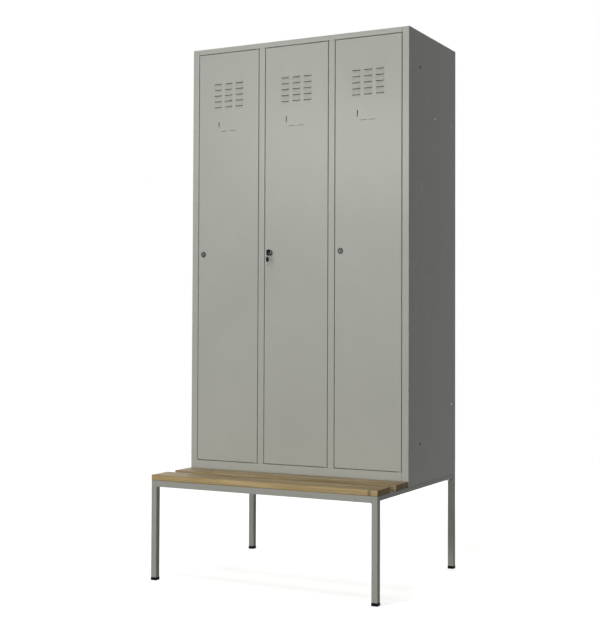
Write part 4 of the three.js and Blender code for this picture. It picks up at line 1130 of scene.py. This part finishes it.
def make_key(node, body, bow_size, blade_length, place, axes):
    """Models a key lying down, and lays its own X, Y and Z along three axes from a place."""
    bow = key_bow(f"{node}_head", *bow_size)
    blade = key_blade(f"{node}_blade", bow_size[0] - BLADE_IN_BOW, blade_length + NECK_LENGTH + BLADE_IN_BOW)
    turn = Matrix.Translation(place) @ Matrix(axes).transposed().to_4x4()
    for piece in (bow, blade):
        piece.data.transform(turn)
    finish_piece(bow, key_plastic, body, "key_bow", node)
    finish_piece(blade, key_steel, body, "lock_nickel")
    print(node, "has a bow of", [round(side / MM, 1) for side in bow_size], "mm")


key_middle, spare_middle = box_middle("key"), box_middle("spare_key")
key_x = key_middle.x
make_key("key", "pulled_key", (22.5 * MM, 25 * MM), 21 * MM,
         (key_x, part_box("key")[0].y, key_middle.z), (AXES["Y"], AXES["Z"], AXES["X"]))
make_key("spare_key", "hanging_key", (18 * MM, 19 * MM), 18 * MM,
         (key_x, spare_middle.y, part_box("spare_key")[1].z), (-AXES["Z"], AXES["Y"], -AXES["X"]))

# %% [markdown]
# ## Key ring
# A split ring is a spring of two turns pressed flat. A small circle stands at the ring's radius, and the
# Screw modifier turns it twice around the ring's axis while it moves along by the thickness of one wire.

# %% Split ring
WIRE_RADIUS = 0.42 * MM
RING_TURNS = 2
RING_STEPS = 48 * RING_TURNS

ring_low, ring_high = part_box("key_ring")
ring_radius = (ring_high.x - ring_low.x) / 2 - 2 * WIRE_RADIUS
select_only()
bpy.ops.mesh.primitive_circle_add(vertices=10, radius=WIRE_RADIUS, fill_type="NOTHING",
                                  location=(ring_radius, 0, -WIRE_RADIUS), rotation=(math.radians(90), 0, 0))
split_ring = start_piece("split_ring")
modify(split_ring, "SCREW", axis="Z", angle=RING_TURNS * 2 * math.pi, screw_offset=2 * WIRE_RADIUS,
       steps=RING_STEPS, render_steps=RING_STEPS, use_merge_vertices=False)
edit(split_ring)
bpy.ops.mesh.select_all(action="SELECT")
bpy.ops.mesh.select_non_manifold()
bpy.ops.mesh.edge_face_add()
done()
split_ring.data.transform(
    Matrix.Translation(box_middle("key_ring")) @ Matrix.Rotation(math.radians(90), 4, "X"))
finish_piece(split_ring, key_steel, "ring", "lock_nickel", "key_ring")
print("split ring of", round(2 * ring_radius / MM, 1), "mm")

# %% [markdown]
# ## Coat rails
# The rail is a tube with a round flange at each wall. It is drawn from one wall to the other: out to the
# flange, in to the tube, along the compartment, and out again. The bore closes the ring.

# %% Coat rails
RAIL_RADIUS = 8 * MM
RAIL_BORE = 6.5 * MM
FLANGE_THICKNESS = 2 * MM


def coat_rail(name, node):
    low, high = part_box(node)
    flange = (high.z - low.z) / 2
    end = [(RAIL_BORE, 0), (flange, 0), (flange, 0.6), (0.94 * flange, 1), (1.25 * RAIL_RADIUS, 1),
           (RAIL_RADIUS, 1.6)]  # radii, and distances from the wall in flange thicknesses
    stations = [(radius, low.x + out * FLANGE_THICKNESS) for radius, out in end]
    stations += [(radius, high.x - out * FLANGE_THICKNESS) for radius, out in reversed(end)]
    rail = turned(name, (0, *box_middle(node).yz), "X", stations + stations[:1], 40)
    finish_piece(rail, chrome, "casing", "chrome_tube", node)


for door_name in DOOR_NAMES:
    coat_rail(f"hanging_rail_{door_name}", f"coat_rail_{door_name}")
print("three rails")

# %% [markdown]
# ## Weld beads
# The bench is welded from square tube. The faces that show are ground flat before painting, but the inside
# corners keep their beads, a row of overlapping ripples. A bead is a thin round bar drawn in many small
# steps, each a little thicker or thinner than the last, and half of it is sunk into the corner.

# %% Weld beads
ENDS = {"front": -1, "rear": 1}
BEAD_RADIUS = 2.4 * MM
BEAD_RIPPLE = 0.55 * MM
BEAD_LENGTH = 21 * MM
RIPPLE_PITCH = 2.1 * MM


def weld_bead(name, centre, axis):
    start = -BEAD_LENGTH / 2
    stations = [(0.5 * BEAD_RADIUS, start)]
    for ripple in range(int(BEAD_LENGTH / RIPPLE_PITCH)):
        stations.append((BEAD_RADIUS, start + (ripple + 0.35) * RIPPLE_PITCH))
        stations.append((BEAD_RADIUS - BEAD_RIPPLE, start + (ripple + 0.95) * RIPPLE_PITCH))
    stations.append((0.5 * BEAD_RADIUS, -start))
    finish_piece(turned(name, centre, axis, stations, 12), frame_paint, "casing", "frame_paint")


for side_name, side in SIDES.items():
    side_rail_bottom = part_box(f"side_rail_{side_name}")[0].z
    for end_name, end in ENDS.items():
        leg_low, leg_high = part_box(f"leg_{end_name}_{side_name}")
        leg_middle = box_middle(f"leg_{end_name}_{side_name}")
        inner_x = leg_low.x if side > 0 else leg_high.x
        inner_y = leg_low.y if end > 0 else leg_high.y
        corner = f"{end_name}_{side_name}"
        weld_bead(f"weld_under_long_rail_{corner}",
                  (inner_x, leg_middle.y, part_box(f"{end_name}_rail")[0].z), "Y")
        weld_bead(f"weld_under_side_rail_{corner}", (leg_middle.x, inner_y, side_rail_bottom), "X")
print("eight welds")

# %% [markdown]
# ## Foot plugs
# A square leg ends in a moulded plug, whose head is a little wider than the tube. The head is a block with
# all its edges bevelled. The face on top is inset to the inside of the tube and extruded into it.

# %% Foot plugs
PLUG_CORNER = 3 * MM
PLUG_EDGE = 1.2 * MM
SPIGOT_WIDTH = 21.4 * MM
HEAD_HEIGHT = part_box("leg_front_left")[0].z - SEAM


def foot_plug(name, node):
    low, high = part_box(node)
    plug = rounded_block(name, low, (high.x, high.y, HEAD_HEIGHT), "z", (PLUG_CORNER, 5), (PLUG_EDGE, 4))
    pick(plug, "FACE", lambda centre, normal: normal.z > 0.9 and centre.z > HEAD_HEIGHT - 0.1 * PLUG_EDGE)
    bpy.ops.mesh.inset(thickness=(high.x - low.x - SPIGOT_WIDTH) / 2 - PLUG_EDGE)
    bpy.ops.mesh.extrude_region_move(TRANSFORM_OT_translate={"value": (0, 0, high.z - HEAD_HEIGHT)})
    done()
    finish_piece(plug, black_plastic, "casing", "black_plastic", node)


for side_name in SIDES:
    for end_name in ENDS:
        foot_plug(f"foot_glide_{end_name}_{side_name}", f"foot_plug_{end_name}_{side_name}")
print("foot plugs with heads of", round(HEAD_HEIGHT / MM, 1), "mm")

# %% [markdown]
# ## Louvres and card slots
# On the pressed doors in the photograph, each louvre's lip comes a little further down over its slot than
# in the frame, and the upright slot is narrower. Nothing new is modelled for that. Only
# a few points of each door's mesh move.

# %% Door forming
LOUVRE_ROWS, LOUVRE_PITCH = 5, 24.5 * MM
LOCKER_TOP = 2.2
FIRST_LIP = LOCKER_TOP - 153.25 * MM
LIP_DROP = 1.7 * MM
LOUVRES_HALF_WIDTH = 80 * MM
CARD_SLOT_X, CARD_SLOT_Z = -47 * MM, LOCKER_TOP - 327 * MM
CARD_SLOT_REACH_X, CARD_SLOT_REACH_Z = 3 * MM, 15 * MM
CARD_SLOT_NARROWING = 0.7


def form_door(piece, node):
    middle = box_middle(node).x
    lips = [FIRST_LIP - row * LOUVRE_PITCH for row in range(LOUVRE_ROWS)]
    moved = 0
    for vertex in piece.data.vertices:
        place = vertex.co
        on_lip = any(abs(place.z - lip) < 0.05 * MM for lip in lips)
        if on_lip and abs(place.x - middle) < LOUVRES_HALF_WIDTH:
            place.z -= LIP_DROP
            moved += 1
        across = place.x - (middle + CARD_SLOT_X)
        if abs(across) < CARD_SLOT_REACH_X and abs(place.z - CARD_SLOT_Z) < CARD_SLOT_REACH_Z:
            place.x -= (1 - CARD_SLOT_NARROWING) * across
            moved += 1
    print(node, "has", moved, "points formed")


print("louvre lips come down by", round(LIP_DROP / MM, 1), "mm")

# %% [markdown]
# ## Sheets and tubes with round folds
# The frame's sheets are made of loose flat triangles, and each fold of a few facets. That is right in
# size, but up close a fold looks like a chamfer. A copy of the mesh has its corners merged and is shaded
# smooth, and the Weighted Normal modifier then lets the large faces decide how the light falls on them. So
# the faces stay flat and only the folds look round.

# %% Smooth copies
FOLD_ANGLE = math.radians(50)
DOOR_NODES = [f"door_{door}" for door in DOOR_NAMES]
FOLDED = ["side_panel_left", "side_panel_right", "roof_panel", "bottom_rail", "floor_panel", "front_rail",
          "rear_rail", "cross_rail", "side_rail_left", "side_rail_right"]
FOLDED += [f"leg_{end}_{side}" for end in ENDS for side in SIDES]
FOLDED += ["mullion_1", "mullion_2", "partition_1", "partition_2", *DOOR_NODES]
FOLDED += [f"{kind}_{door}" for kind in ("hat_shelf", "coat_hook", "hinge_channel") for door in DOOR_NAMES]


def smooth_copy(node):
    piece = add_to_scene(f"{node}_formed", nodes[node].data.copy())
    edit(piece)
    bpy.ops.mesh.select_all(action="SELECT")
    bpy.ops.mesh.remove_doubles(threshold=0.01 * MM)
    done()
    if node in DOOR_NODES:
        form_door(piece, node)
    bpy.ops.object.shade_smooth_by_angle(angle=FOLD_ANGLE)
    modify(piece, "WEIGHTED_NORMAL", keep_sharp=True)
    dress(piece, SLOT_FINISHES[node_slots[node]])
    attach(piece, nodes[node].parent.name.removeprefix("body:"))
    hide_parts(node)


for node in FOLDED:
    smooth_copy(node)
print(len(FOLDED), "sheets and tubes with smooth folds")
